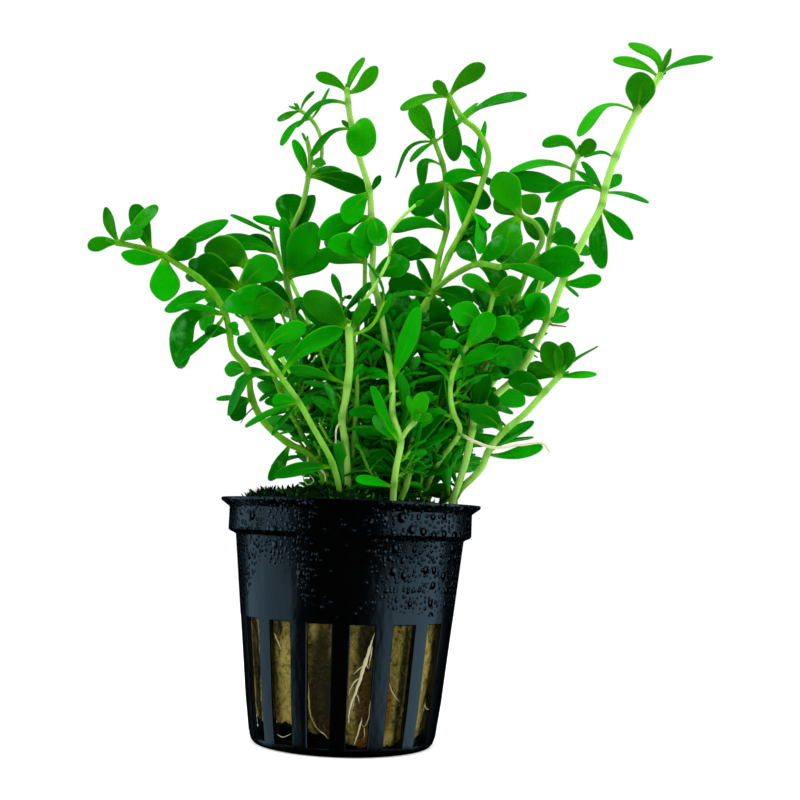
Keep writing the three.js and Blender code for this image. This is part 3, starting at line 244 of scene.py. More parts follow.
        [-16.4, -10, 73.4, [-8.0, -13, 78.5, 3.2, 0.1, 0.6], [-23.5, -8, 78.0, 2.6, 0.1, 0.5]],
        [-19.2, -10.5, 79.2, [-11.0, -14, 84.0, 3.4, 0.1, 0.6], [-26.0, -8, 84.6, 4.6, 0.05, 0.8]],
        [-21.8, -10.5, 84.2, [-24.7, -8, 83.6, 4.0, 0.05, 0.8]],
        [-24.0, -10.5, 89.0, [-34.0, -6, 94.0, 5.4, 0.1, 0.7]],
        [-26.0, -10, 95.5, [-36.4, -12, 101.0, 8.0, 0.05, 0.75], [-37.5, -6, 100.8, 5.4, 0.05, 0.7],
         [-18.5, -15, 101.8, 6.8, 0.08, 0.8]], [-24.6, -8, 100.4, [-33.9, -5, 104.8, 8.0, 0.1, 0.8]],
    ]],
    ["shoot_centre_thick", 0.9, 0.8, [
        [-0.8, -14, 50.7], [-1.1, -14.4, 56.4], [-1.9, -15, 62.5, [-4.1, -12, 58.6, 2.3, 0.1, 0.4]],
        [-2.8, -16, 68.2, [-6.8, -18, 75.4, 1.6, 0.0, 0.5]], [-2.3, -16.4, 71.2],
        [-1.9, -16.6, 74.9, [-11.3, -14, 72.7, 1.5, 0.06, 0.2]], [-1.6, -16.8, 79.9],
        [-2.1, -16.5, 87.3, [-12.2, -19, 94.4, 6.2, 0.05, 0.85], [2.3, -19, 94.0, 2.8, 0.0, 0.8]],
    ]],
    ["shoot_centre_thick", 0.45, 0.34, [
        [-2.1, -16.5, 87.3], [0.4, -16, 92.4], [3.6, -15.5, 97.8],
        [6.2, -14.5, 103.8, [12.8, -17, 106.5, 4.6, 0.1, 0.7]], [6.0, -13.5, 108.6], [8.6, -12.5, 112.4],
        [11.2, -11.5, 115.0],
    ]],
    ["shoot_centre_thin", 0.68, 0.45, [
        [0.2, -10, 50.7], [-0.1, -11, 56.5], [-0.1, -13, 62.6, [3.4, -14, 59.5, 2.2, 0.08, 0.4]],
        [0.2, -14.5, 70.3, [3.7, -12, 66.6, 2.3, 0.1, 0.4]], [0.1, -14.5, 75.3],
        [-0.4, -14, 80.7, [-5.0, -12, 80.6, 2.3, 0.1, 0.4], [5.3, -8, 79.6, 2.5, 0.1, 0.4]],
        [-1.0, -12, 85.8], [0.8, -7, 94.0],
        [0.8, -5.5, 102.4, [-9.8, -8, 103.4, 4.4, 0.03, -0.4], [-8.0, -1, 107.0, 5.0, 0.1, 0.6]],
    ]],
]

# Each shoot behind: name, its foot's compass angle and reach, which way and how far it leans, its
# height, its pairs of leaves and the seed of its dice.
FILLERS: list[list[Any]] = [
    ["shoot_middle_left", 62, 5, 70, 7, 94, 6, 11],
    ["shoot_middle_right", -29, 6, 44, 10, 91, 6, 23],
    ["shoot_side_right", -6, 19, 20, 14, 84, 5, 37],
    ["shoot_back_right", 30, 18, 28, 34, 112, 5, 41],
    ["shoot_back_right_low", 52, 12, 48, 20, 84, 5, 53],
    ["shoot_back", 72, 17, 66, 28, 102, 5, 67],
    ["shoot_back_middle", 100, 9, 92, 14, 88, 5, 71],
    ["shoot_back_left", 100, 18, 122, 30, 106, 5, 83],
    ["shoot_back_left_low", 112, 10, 138, 22, 86, 5, 97],
]

# Pale roots and brown stubs that grow from the stems into the air: shoot, girth at both ends,
# whether it is a brown stub, and its places.
AERIAL_ROOTS: list[list[Any]] = [
    ["shoot_right_inner", 0.34, 0.2, False, [
        [22.4, -15, 65.4], [25.7, -17.5, 63.9], [30.2, -18, 62.7], [36.4, -18, 63.6], [40.3, -18, 64.0],
        [42.0, -18, 62.2]]],
    ["shoot_left_long", 0.2, 0.12, False, [
        [-9.6, -14, 59.7], [-9.7, -15, 58.1], [-7.1, -16, 56.8], [-5.9, -16, 55.4], [-5.8, -16, 54.1]]],
    ["shoot_left_long", 0.12, 0.1, False, [
        [-8.0, -14, 57.6], [-9.6, -16, 56.4], [-10.6, -16, 54.6], [-9.4, -16, 53.2], [-8.2, -16, 54.2],
        [-9.2, -16, 55.2]]],
    ["shoot_centre_thick", 0.26, 0.14, False, [[-2.6, -15, 67.6], [-3.9, -17, 65.5], [-3.9, -17, 62.3]]],
    ["shoot_left_long", 0.2, 0.1, True, [[-21.5, -15, 69.8], [-23.4, -16, 67.8], [-24.5, -16, 66.0]]],
    ["shoot_right_tall", 0.3, 0.12, True, [[40.4, -5, 90.0], [42.6, -6, 89.6], [44.9, -6, 89.4]]],
]

# The roots on the pot's wall by CAD node: the girth and the tint of each strand, and its places as
# compass angle and height.
STRANDS: dict[str, list[Strand]] = {
    "root_white": [
        (0.46, 0.0, ((-73.2, 24.4), (-75.4, 21.0), (-77.2, 18.4), (-79.0, 15.8), (-81.5, 12.9),
         (-83.8, 10.4), (-84.8, 8.2), (-84.4, 6.8))),
        (0.3, 0.1, ((-74.6, 23.0), (-77.6, 18.6), (-80.6, 14.4), (-82.6, 11.4))),
        (0.16, 0.1, ((-77.3, 18.2), (-79.6, 17.6), (-81.8, 16.9), (-83.2, 16.2))),
        (0.2, 0.0, ((-79.6, 15.7), (-82.3, 14.9), (-84.4, 13.6), (-85.6, 12.3))),
        (0.16, 0.1, ((-77.0, 18.4), (-76.0, 18.0), (-75.2, 17.3))),
        (0.15, 0.3, ((-81.0, 12.6), (-80.0, 11.8), (-79.2, 10.7))),
        (0.16, 0.5, ((-81.8, 12.2), (-82.6, 10.4), (-83.8, 8.2))),
        (0.18, 0.1, ((-73.8, 22.0), (-74.4, 19.8), (-75.0, 17.6))),
    ],
    "root_white_low": [
        (0.26, 0.15, ((-77.0, 8.0), (-78.2, 5.8), (-79.6, 3.8), (-80.6, 2.6))),
        (0.13, 0.35, ((-73.2, 11.6), (-73.0, 9.4), (-73.6, 7.4), (-75.4, 6.2), (-77.0, 6.6))),
        (0.12, 0.3, ((-75.6, 6.2), (-75.0, 4.8), (-75.4, 3.6))),
    ],
    "root_golden": [
        (0.24, 0.95, ((-107.6, 14.4), (-107.4, 10.8), (-106.2, 7.9), (-103.2, 5.8), (-100.2, 4.8))),
        (0.17, 0.45, ((-101.2, 5.1), (-98.6, 4.6), (-95.6, 3.6))),
        (0.2, 0.2, ((-129.6, 23.4), (-127.6, 22.2), (-125.8, 20.9), (-124.6, 20.1))),
        (0.17, 0.5, ((-62.8, 14.9), (-60.9, 13.2), (-57.8, 11.8), (-54.8, 10.8))),
        (0.15, 0.4, ((-39.6, 14.8), (-38.2, 13.2), (-37.0, 11.4))),
        (0.14, 0.4, ((-33.6, 9.8), (-31.0, 8.9), (-27.0, 8.6), (-25.4, 9.0))),
        (0.13, 0.4, ((-33.0, 10.4), (-33.6, 9.0), (-34.8, 8.2))),
        (0.14, 0.2, ((-130.5, 3.6), (-126.5, 3.0), (-121.5, 3.6), (-119.0, 4.2))),
    ],
}

# Places and curves


def sighted(x: float, depth: float, z: float) -> Vector:
    """Returns the place seen at x and z in the upright plane through the axis, at a depth behind it."""
    return VIEWPOINT + (Vector((x, 0.0, z)) - VIEWPOINT) * (1 - depth / VIEWPOINT.y)


def across(direction: Vector, axis: Vector) -> Vector:
    """Returns the part of a direction that is square to an axis, as a unit vector."""
    return (direction - axis * direction.dot(axis)).normalized()


def blend(low: float, high: float, share: float) -> float:
    """Returns the number that lies at a share of the way from low to high."""
    return low + (high - low) * share


def rise(share: float) -> float:
    """Returns a smooth step from 0 to 1 for a share, which is kept between them."""
    kept = min(max(share, 0.0), 1.0)
    return kept * kept * (3 - 2 * kept)


def polar(radius: float, degrees: float, z: float) -> Vector:
    """Returns the place at a radius, a compass angle and a height."""
    turn = math.radians(degrees)
    return Vector((radius * math.cos(turn), radius * math.sin(turn), z))


class Dice:
    """Dice that fall the same way every time."""

    MODULUS = 2147483647

    def __init__(self, seed: int) -> None:
        """Sets which run of numbers the dice give."""
        self.state = seed * 7919 + 13

    def roll(self, low: float, high: float) -> float:
        """Returns the next number between low and high."""
        self.state = (self.state * 16807) % self.MODULUS
        return low + (high - low) * (self.state / self.MODULUS)


@dataclass(frozen=True)
class Spline:
    """A centripetal Catmull-Rom curve through two or more points."""

    points: Sequence[Vector]
    step: float = 0.0001

    def at(self, share: float) -> Vector:
        """Finds a place on the curve.

        Args:
            share: From 0 at the first point to 1 at the last, evenly spread over the points.

        Returns:
            The place.
        """
        last = len(self.points) - 1
        reach = last * share
        span = min(int(math.floor(reach)), last - 1)
        weight = reach - span
        p1, p2 = self.points[span], self.points[span + 1]
        p0 = self.points[span - 1] if span > 0 else p1 * 2 - p2
        p3 = self.points[span + 2] if span + 2 <= last else p2 * 2 - p1
        gaps = [max((b - a).length_squared ** 0.25, 1e-6) for a, b in ((p0, p1), (p1, p2), (p2, p3))]
        lead = (p1 - p0) / gaps[0] - (p2 - p0) / (gaps[0] + gaps[1]) + (p2 - p1) / gaps[1]
        trail = (p2 - p1) / gaps[1] - (p3 - p1) / (gaps[1] + gaps[2]) + (p3 - p2) / gaps[2]
        lead, trail = lead * gaps[1], trail * gaps[1]
        second = (p2 - p1) * 3 - lead * 2 - trail
        third = (p1 - p2) * 2 + lead + trail
        return p1 + lead * weight + second * weight**2 + third * weight**3

    def along(self, share: float) -> Vector:
        """Returns the direction of the curve at a share, as a unit vector."""
        before, after = max(share - self.step, 0.0), min(share + self.step, 1.0)
        return (self.at(after) - self.at(before)).normalized()

    def length(self) -> float:
        """Returns the summed distance between the curve's points."""
        return sum((b - a).length for a, b in zip(self.points, self.points[1:]))


# Meshes


@dataclass
class Meshwork:
    """Corners, edges and faces in millimetres, with numbers painted on the corners."""

    corners: list[Vector] = field(default_factory=list)
    edges: list[tuple[int, int]] = field(default_factory=list)
    faces: list[tuple[int, ...]] = field(default_factory=list)
    paints: dict[str, list[float]] = field(default_factory=dict)

    def corner(self, place: Vector, **paint: float) -> int:
        """Adds a corner.

        Args:
            place: Where it lies.
            **paint: Numbers that it carries, by name. A name that it leaves out is 0.

        Returns:
            Its index.
        """
        self.corners.append(place)
        for name in paint:
            self.paints.setdefault(name, [0.0] * (len(self.corners) - 1))
        for name, values in self.paints.items():
            values.append(paint.get(name, 0.0))
        return len(self.corners) - 1

    def skin(self, lower: Sequence[int], upper: Sequence[int], closed: bool = True) -> None:
        """Joins two rows of corners with faces.

        Args:
            lower: The first row.
            upper: The second row, as long as the first.
            closed: Whether each row is a ring.
        """
        count = len(lower)
        for here in range(count if closed else count - 1):
            after = (here + 1) % count
            self.faces.append((lower[here], lower[after], upper[after], upper[here]))

    def sheath(self, rows: Sequence[Sequence[int]], closed: bool = True) -> None:
        """Joins each row of corners to the next one with faces."""
        for lower, upper in zip(rows, rows[1:]):
            self.skin(lower, upper, closed)

    def line(self, corners: Sequence[int]) -> None:
        """Joins corners with edges, one after the other."""
        self.edges.extend(zip(corners, corners[1:]))

    def fan(self, ring: Sequence[int], pole: int, turned: bool = False) -> None:
        """Closes a ring of corners with faces to one corner.

        Args:
            ring: The ring's corners.
            pole: The corner in its middle.
            turned: Whether the faces look the other way.
        """
        for here, first in enumerate(ring):
            second = ring[(here + 1) % len(ring)]
            self.faces.append((second, first, pole) if turned else (first, second, pole))

    def thing(self, name: str, smooth: bool = True) -> Thing:
        """Makes a Blender object at the origin from the work.

        Args:
            name: The object's name.
            smooth: Whether the faces are shaded smoothly.

        Returns:
            The object, linked to the scene.
        """
        mesh = bpy.data.meshes.new(name)
        mesh.from_pydata([tuple(place * MM) for place in self.corners], self.edges, self.faces)
        for paint, values in self.paints.items():
            layer = mesh.attributes.new(paint, "FLOAT", "POINT")
            layer.data.foreach_set("value", values)
        if smooth:
            mesh.polygons.foreach_set("use_smooth", [True] * len(mesh.polygons))
        mesh.update()
        made = bpy.data.objects.new(name, mesh)
        bpy.context.scene.collection.objects.link(made)
        return made


# Node trees


@dataclass(frozen=True)
class Level:
    """A number that varies over a surface, written with the usual operators."""

    bench: "Bench"
    socket: Socket

    def __add__(self, other: Number) -> "Level":
        """Returns the sum."""
        return self.bench.math("ADD", self, other)

    __radd__ = __add__

    def __sub__(self, other: Number) -> "Level":
        """Returns the difference."""
        return self.bench.math("SUBTRACT", self, other)

    def __rsub__(self, other: Number) -> "Level":
        """Returns the difference with this one second."""
        return self.bench.math("SUBTRACT", other, self)

    def __mul__(self, other: Number) -> "Level":
        """Returns the product."""
        return self.bench.math("MULTIPLY", self, other)

    __rmul__ = __mul__

    def __truediv__(self, other: Number) -> "Level":
        """Returns the quotient."""
        return self.bench.math("DIVIDE", self, other)

    def __rtruediv__(self, other: Number) -> "Level":
        """Returns the quotient with this one second."""
        return self.bench.math("DIVIDE", other, self)

    def size(self) -> "Level":
        """Returns the number without its sign."""
        return self.bench.math("ABSOLUTE", self)

    def root(self) -> "Level":
        """Returns the square root of the number, or 0 below 0."""
        return self.bench.math("SQRT", self.bench.math("MAXIMUM", self, 0.0))

    def band(self, low: float, high: float) -> "Level":
        """Turns the number into a smooth step.

        Args:
            low: Where the step starts, at 0.
            high: Where it ends, at 1. It may be the smaller one, for a falling step.

        Returns:
            The step.
        """
        made = self.bench.node("ShaderNodeMapRange", {"interpolation_type": "SMOOTHSTEP"}, {
            "Value": self, "From Min": low, "From Max": high, "To Min": 0.0, "To Max": 1.0})
        return Level(self.bench, made.outputs["Result"])


@dataclass
class Bench:
    """Makes the nodes of one tree."""

    tree: bpy.types.NodeTree

    def node(self, kind: str, settings: Settings = None, values: Settings = None) -> bpy.types.Node:
        """Makes a node of any type.

        Args:
            kind: Blender's name of the type.
            settings: The node's own settings, which are set first.
            values: Numbers, levels or sockets for its inputs, by identifier or name.

        Returns:
            The node.
        """
        made = self.tree.nodes.new(kind)
        for key, setting in (settings or {}).items():
            setattr(made, key, setting)
        for key, value in (values or {}).items():
            self.feed(made, key, value)
        return made

    def feed(self, node: bpy.types.Node, key: str, value: Any) -> None:
        """Sets or links one input of a node.

        Args:
            node: The node.
            key: The input's identifier or name.
            value: A number, a colour, a level or a socket.
        """
        found = [s for s in node.inputs if s.identifier == key] or [s for s in node.inputs if s.name == key]
        if isinstance(value, Level):
            value = value.socket
        if isinstance(value, Socket):
            self.tree.links.new(value, found[0])
        elif isinstance(value, tuple) and found[0].type == "RGBA":
            found[0].default_value = (*value, 1.0)
        else:
            found[0].default_value = value

    def math(self, operation: str, first: Number, second: Optional[Number] = None) -> Level:
        """Returns the level that an operation makes of one or two numbers."""
        values = {"Value": first} if second is None else {"Value": first, "Value_001": second}
        return Level(self, self.node("ShaderNodeMath", {"operation": operation}, values).outputs["Value"])

    def mix(self, share: Number, first: Any, second: Any) -> Socket:
        """Mixes two colours.

        Args:
            share: How much of the second colour shows.
            first: A colour or a socket.
            second: A colour or a socket.

        Returns:
            The mixed colour.
        """
        made = self.node("ShaderNodeMix", {"data_type": "RGBA"}, {
            "Factor_Float": share, "A_Color": first, "B_Color": second})
        return next(s for s in made.outputs if s.identifier == "Result_Color")


class FinishBench(Bench):
    """Makes a material round one Principled BSDF."""

    def __init__(self, name: str, constants: Mapping[str, Any]) -> None:
        """Makes the material.

        Args:
            name: The material's name.
            constants: What is the same all over, by the shader's own inputs.
        """
        self.material = bpy.data.materials.new(name)
        self.material.use_nodes = True
        super().__init__(self.material.node_tree)
        self.shader = self.tree.nodes["Principled BSDF"]
        for key, value in constants.items():
            self.feed(self.shader, key, value)
        self.place = self.node("ShaderNodeTexCoord").outputs["Object"]

    def wear(self, **values: Any) -> Material:
        """Feeds what varies to the shader.

        Args:
            **values: Levels or sockets, by the shader's inputs, with underscores for spaces.

        Returns:
            The material.
        """
        for key, value in values.items():
            self.feed(self.shader, key.replace("_", " "), value)
        return self.material

    def painted(self, name: str) -> Level:
        """Returns the numbers painted on the mesh under a name."""
        made = self.node("ShaderNodeAttribute", {"attribute_name": name})
        return Level(self, made.outputs["Fac"])

    def coordinates(self) -> tuple[Level, Level, Level]:
        """Returns the place's x, y and z in metres."""
        parts = self.node("ShaderNodeSeparateXYZ", values={"Vector": self.place}).outputs
        return Level(self, parts["X"]), Level(self, parts["Y"]), Level(self, parts["Z"])

    def stretched(self, scale: Colour) -> Socket:
        """Returns the place scaled by a number along each axis."""
        made = self.node("ShaderNodeMapping", values={"Vector": self.place, "Scale": Vector(scale)})
        return made.outputs["Vector"]

    def cloud(self, per_mm: float, detail: float = 3.0, rough: float = 0.55,
              place: Optional[Socket] = None, shift: float = 0.0) -> Level:
        """Makes soft noise.

        Args:
            per_mm: Lumps per millimetre.
            detail: Octaves of finer noise.
            rough: How strong those are.
            place: Coordinates in metres, or the object's own.
            shift: Picks another piece of the same noise.

        Returns:
            A level round 0.5.
        """
        made = self.node("ShaderNodeTexNoise", {"noise_dimensions": "4D"}, {
            "Vector": place or self.place, "W": shift, "Scale": per_mm / MM, "Detail": detail,
            "Roughness": rough})
        return Level(self, made.outputs["Fac"])

    def bump(self, height: Level, under: Optional[Socket] = None) -> Socket:
        """Turns a height in metres into normals.

        Args:
            height: The height.
            under: Normals that it is laid over.

        Returns:
            The normals.
        """
        values: dict[str, Any] = {"Height": height, "Distance": 1.0, "Strength": 1.0}
        if under is not None:
            values["Normal"] = under
        return self.node("ShaderNodeBump", values=values).outputs["Normal"]


class GrowthBench(Bench):
    """Makes one Geometry Nodes tree with named inputs."""

    SOCKETS = {
        "count": "NodeSocketInt", "number": "NodeSocketFloat", "vector": "NodeSocketVector",
        "material": "NodeSocketMaterial", "thing": "NodeSocketObject",
    }

    def __init__(self, name: str, **inputs: str) -> None:
        """Makes the tree.

        Args:
            name: The tree's name.
            **inputs: The kind of each input, by its name.
        """
        super().__init__(bpy.data.node_groups.new(name, "GeometryNodeTree"))
        face = self.tree.interface
        face.new_socket("Geometry", in_out="INPUT", socket_type="NodeSocketGeometry")
        face.new_socket("Geometry", in_out="OUTPUT", socket_type="NodeSocketGeometry")
        for title, kind in inputs.items():
            face.new_socket(title, in_out="INPUT", socket_type=self.SOCKETS[kind])
        self.entry = self.node("NodeGroupInput")
        self.exit = self.node("NodeGroupOutput")

    def given(self, name: str) -> Socket:
        """Returns one of the tree's inputs."""
        return self.entry.outputs[name]

    def chain(self, kind: str, shape: Socket, settings: Settings = None, **values: Any) -> Socket:
        """Adds a node that takes a shape and gives one.

        Args:
            kind: Blender's name of the node's type.
            shape: What goes into its first input.
            settings: The node's own settings.
            **values: Its other inputs, with underscores for spaces.

        Returns:
            Its first output.
        """
        made = self.node(kind, settings, {key.replace("_", " "): value for key, value in values.items()})
        self.tree.links.new(shape, made.inputs[0])
        return made.outputs[0]

    def painted(self, name: str) -> Level:
        """Returns the numbers that the shape carries under a name."""
        made = self.node("GeometryNodeInputNamedAttribute", values={"Name": name})
        return Level(self, made.outputs["Attribute"])

    def chance(self, low: Any, high: Any, salt: int) -> Socket:
        """Returns a random number for each point, between two numbers or sockets."""
        made = self.node("FunctionNodeRandomValue", values={"Min_001": low, "Max_001": high, "Seed": salt})
        return next(s for s in made.outputs if s.identifier == "Value_001")

    def tubes(self, line: Socket) -> Socket:
        """Skins a curve with round tubes, as thick as the girth painted on it.

        Args:
            line: The curve.

        Returns:
            The tubes.
        """
        ring = self.node("GeometryNodeCurvePrimitiveCircle", values={
            "Resolution": self.given("Sides"), "Radius": 1.0}).outputs["Curve"]
        girth = self.painted("girth") * MM
        tubes = self.chain("GeometryNodeCurveToMesh", line, Profile_Curve=ring, Scale=girth, Fill_Caps=True)
        return self.chain("GeometryNodeSetShadeSmooth", tubes)

    def finish(self, shape: Socket, material: Socket) -> None:
        """Ends the tree with real meshes in one material.

        Args:
            shape: The shape so far.
            material: The material's socket.
        """
        real = self.chain("GeometryNodeRealizeInstances", shape)
        worn = self.chain("GeometryNodeSetMaterial", real, Material=material)
        self.tree.links.new(worn, self.exit.inputs[0])

    def grow(self, thing: Thing, **values: Any) -> Thing:
        """Runs the tree on an object and keeps the result as its plain mesh.

        Args:
            thing: The object.
            **values: The tree's inputs, by name.

        Returns:
            The object.
        """
        modifier = thing.modifiers.new(self.tree.name, "NODES")
        modifier.node_group = self.tree
        for item in self.tree.interface.items_tree:
            if item.item_type == "SOCKET" and item.in_out == "INPUT" and item.name in values:
                modifier[item.identifier] = values[item.name]
        graph = bpy.context.evaluated_depsgraph_get()
        mesh = bpy.data.meshes.new_from_object(
            thing.evaluated_get(graph), preserve_all_data_layers=True, depsgraph=graph)
        thing.modifiers.remove(modifier)
        plain, thing.data = thing.data, mesh
        bpy.data.meshes.remove(plain)
        mesh.name = thing.name
        return thing


# Finishes


@dataclass(frozen=True)
class LeafFinish:
    """Fleshy leaves: green above, paler below, with dull glaucous streaks that are partly painted sheen."""

    deep: Colour = (0.0003, 0.095, 0.0002)
    fresh: Colour = (0.002, 0.265, 0.0004)
    young: Colour = (0.03, 0.22, 0.0015)
    under: Colour = (0.004, 0.225, 0.003)
    foot: Colour = (0.10, 0.35, 0.004)
    bloom: Colour = (0.045, 0.26, 0.045)
    speck: Colour = (0.001, 0.10, 0.001)
    # A lighter margin along each leaf's edge: a painted highlight.
    rim: Colour = (0.075, 0.26, 0.012)
    sheen: Colour = (0.15, 1.0, 0.08)

    def make(self) -> Material:
        """Makes the material.

        Returns:
            The material.
        """
        bench = FinishBench("leaf_green", {
            "Specular IOR Level": 0.12, "Specular Tint": self.sheen, "Subsurface Weight": 0.10,
            "Subsurface Radius": (0.25, 1.0, 0.05), "Subsurface Scale": 0.0006,
        })
        along, span = bench.painted("along"), bench.painted("span")
        tint, youth, upper = bench.painted("tint"), bench.painted("youth"), bench.painted("upper")
        patches = bench.cloud(0.22, 2.0)
        # The tint picks a random tone; on the side shoots' leaves inside the crown it stays low, as painted
        # shade.
        green = bench.mix((tint + (patches - 0.5) * 0.8).band(0.0, 1.0), self.deep, self.fresh)
        green = bench.mix((youth + (patches - 0.5) * 0.4).band(0.15, 1.15), green, self.young)
        green = bench.mix((1 - upper) * 0.7, green, self.under)
        vein = span.size().band(0.16, 0.02) * along.band(0.8, 0.1) * bench.painted("vein")
        green = bench.mix(vein, green, self.foot)
        green = bench.mix(along.band(0.25, 0.04) * 0.75, green, self.foot)
        # Painted highlight: the margins are lightened.
        green = bench.mix(span.size().band(0.82, 1.0) * 0.25, green, self.rim)
        # The pale streaks are partly a dull glaucous coat and partly a painted sheen.
        streak = bench.cloud(0.30, 3.0, 0.6, shift=3.0).band(0.50, 0.72) * bench.painted("bloom")
        green = bench.mix(streak, green, self.bloom)
        specks = bench.cloud(2.0, 2.0, 0.7, shift=7.0).band(0.60, 0.76)
        green = bench.mix(specks * 0.1, green, self.speck)
        ribs = bench.cloud(0.9, 2.0, 0.5, shift=9.0)
        return bench.wear(
            Base_Color=green,
            Roughness=0.34 + patches * 0.16 + streak * 0.15,
            Normal=bench.bump(ribs * 0.00008),
        )


@dataclass(frozen=True)
class StemFinish:
    """Round juicy stems, yellow-green to nearly white, and roots that are cream."""

    deep: Colour = (0.025, 0.17, 0.002)
    fresh: Colour = (0.105, 0.36, 0.006)
    pale: Colour = (0.27, 0.55, 0.09)
    ring: Colour = (0.03, 0.20, 0.003)
    cream: Colour = (0.50, 0.47, 0.31)
    brown: Colour = (0.20, 0.13, 0.05)
    sheen: Colour = (0.6, 1.0, 0.4)

    def make(self) -> Material:
        """Makes the material.

        Returns:
            The material.
        """
        bench = FinishBench("stem_green", {
            "Specular IOR Level": 0.25, "Specular Tint": self.sheen, "Subsurface Weight": 0.12,
            "Subsurface Radius": (0.6, 1.0, 0.1), "Subsurface Scale": 0.0006,
        })
        streaks = bench.cloud(0.5, 3.0, place=bench.stretched((1.6, 1.6, 0.35)))
        tint = bench.painted("tint")
        green = bench.mix((tint * 0.7 + streaks * 0.6).band(0.1, 1.0), self.deep, self.fresh)
        green = bench.mix((bench.painted("pale") + (streaks - 0.5) * 0.5).band(0.0, 1.0), green, self.pale)
        green = bench.mix(bench.painted("ring") * 0.6, green, self.ring)
        colour = bench.mix(bench.painted("root"), green, self.cream)
        colour = bench.mix(bench.painted("stub"), colour, self.brown)
        return bench.wear(
            Base_Color=colour,
            Roughness=0.34 + streaks * 0.18,
            Normal=bench.bump(streaks * 0.00016),
        )


@dataclass(frozen=True)
class PlasticFinish:
    """Black moulded plastic, dulled a little, with beads of wet on its upper part."""

    black: Colour = (0.0004, 0.0005, 0.0007)
    # The beads' insides are painted darker than the dry plastic: painted shade for the dark surroundings that
    # the beads mirror.
    bead_shade_black: Colour = (0.0001, 0.0001, 0.0002)
    bead_floor: float = 27.0
    bead_depth: float = 1.1
    smooth_patch: float = 8.5
    wall_radius: float = 23.9

    def make(self) -> Material:
        """Makes the material.

        Returns:
            The material.
        """
        bench = FinishBench("black_plastic", {"Specular IOR Level": 0.5})
        x, y, z = (level / MM for level in bench.coordinates())
        smear = bench.cloud(0.16, 3.0, place=bench.stretched((1.0, 1.0, 0.4)))
        fine = bench.cloud(1.3, 3.0)
        smooth = x.band(-7.0, -11.0) * x.band(-20.5, -17.5) * y.band(0.0, -4.0)
        wettest = z + (smear - 0.5) * 10.0 - smooth * self.smooth_patch
        wet = wettest.band(self.bead_floor, self.bead_floor + 3.0)
        front = y.band(0.0, -6.0)
        dull = x.band(-6.5, -2.0) * x.band(9.0, 5.5) * front
        left, right = 1 - x.band(-9.0, -5.0) * front, x.band(3.0, 9.0)
        small, small_mask = self._beads(bench, 1.0, 0.48, wet * (left * 0.9 + right * 0.8 + 0.12))
        large, large_mask = self._beads(bench, 2.7, 0.4, wet * (left * 0.14 + right * 0.7) * (1 - dull))
        height, mask = bench.math("MAXIMUM", small, large), bench.math("MAXIMUM", small_mask, large_mask)
        skin = bench.bump(smear * 0.0004 + fine * 0.000012)
        return bench.wear(
            # Painted shade: the beads' insides are darkened.
            Base_Color=bench.mix(mask * 0.5, self.black, self.bead_shade_black),
            Roughness=(0.15 + fine * 0.10 + smear * 0.06) * (1 - mask) + mask * 0.05,
            Normal=bench.bump(height, skin),
        )

    def _beads(self, bench: FinishBench, gap: float, fill: float, cover: Level) -> tuple[Level, Level]:
        """Makes a layer of round beads on the unrolled wall.

        Args:
            bench: The material's bench.
            gap: Millimetres between beads.
            fill: A bead's largest radius as a share of the gap.
            cover: Which share of the places holds a bead.

        Returns:
            The beads' height in metres, and 1 inside a bead.
        """
        x, y, z = bench.coordinates()
        around = bench.math("ARCTAN2", x, y * -1.0) * (self.wall_radius * MM)
        flat = bench.node("ShaderNodeCombineXYZ", values={"X": around, "Y": z}).outputs["Vector"]
        cells = bench.node("ShaderNodeTexVoronoi", {"voronoi_dimensions": "2D", "feature": "F1"}, {
            "Vector": flat, "Scale": 1.0 / (gap * MM), "Randomness": 0.85}).outputs
        chance = bench.node("ShaderNodeSeparateXYZ", values={"Vector": cells["Color"]}).outputs
        radius = Level(bench, chance["X"]) * (fill * 0.65) + fill * 0.35
        here = (cover - Level(bench, chance["Y"])).band(-0.01, 0.01)
        share = Level(bench, cells["Distance"]) / radius
        domes = (1 - share * share).root() * radius * here
        return domes * (gap * MM * self.bead_depth), share.band(1.05, 0.85) * here


@dataclass(frozen=True)
class WoolFinish:
    """Rockwool tinged olive and rust, with painted shade in the hollows between its fibres and where the plug
    is painted with shade.
    """

    straw: Colour = (0.26, 0.215, 0.050)
    olive: Colour = (0.070, 0.058, 0.006)
    hollow_shade: Colour = (0.005, 0.0045, 0.001)
    rust: Colour = (0.13, 0.042, 0.004)

    def make(self) -> Material:
        """Makes the material.

        Returns:
            The material.
        """
        bench = FinishBench("wool_olive", {"Specular IOR Level": 0.12})
        mats = bench.cloud(0.20, 3.0, place=bench.stretched((1.0, 1.0, 0.55)))
        fibres = bench.cloud(1.7, 4.0, 0.75, place=bench.stretched((1.0, 1.0, 0.5)))
        pits = bench.cloud(0.85, 3.5, 0.7, shift=2.0)
        straw, rust, shade = bench.painted("straw"), bench.painted("rust"), bench.painted("shade")
        wool = bench.mix((fibres + (mats - 0.5) * 0.8 + straw * 0.3).band(0.32, 0.86), self.olive, self.straw)
        wool = bench.mix((rust + (mats - 0.5) * 1.0 + (fibres - 0.5) * 0.7).band(0.15, 1.2), wool, self.rust)
        # Painted shade: the pits between the fibres are darkened.
        wool = bench.mix(pits.band(0.54, 0.36) * (1 - straw * 0.6) * 0.9, wool, self.hollow_shade)
        # Painted shade: where the plug carries its painted shade, at the ribs' edges, over the darker slots
        # and on its top, bottom and back.
        wool = bench.mix((shade + (pits - 0.5) * 0.9).band(0.25, 1.0) * 0.92, wool, self.hollow_shade)
        wool = bench.mix(bench.painted("tint") * 0.5, wool, self.straw)
        return bench.wear(
            Base_Color=wool,
            Roughness=0.85 + fibres * 0.1,
            Normal=bench.bump(fibres * 0.0005 + pits * 0.0007),
        )


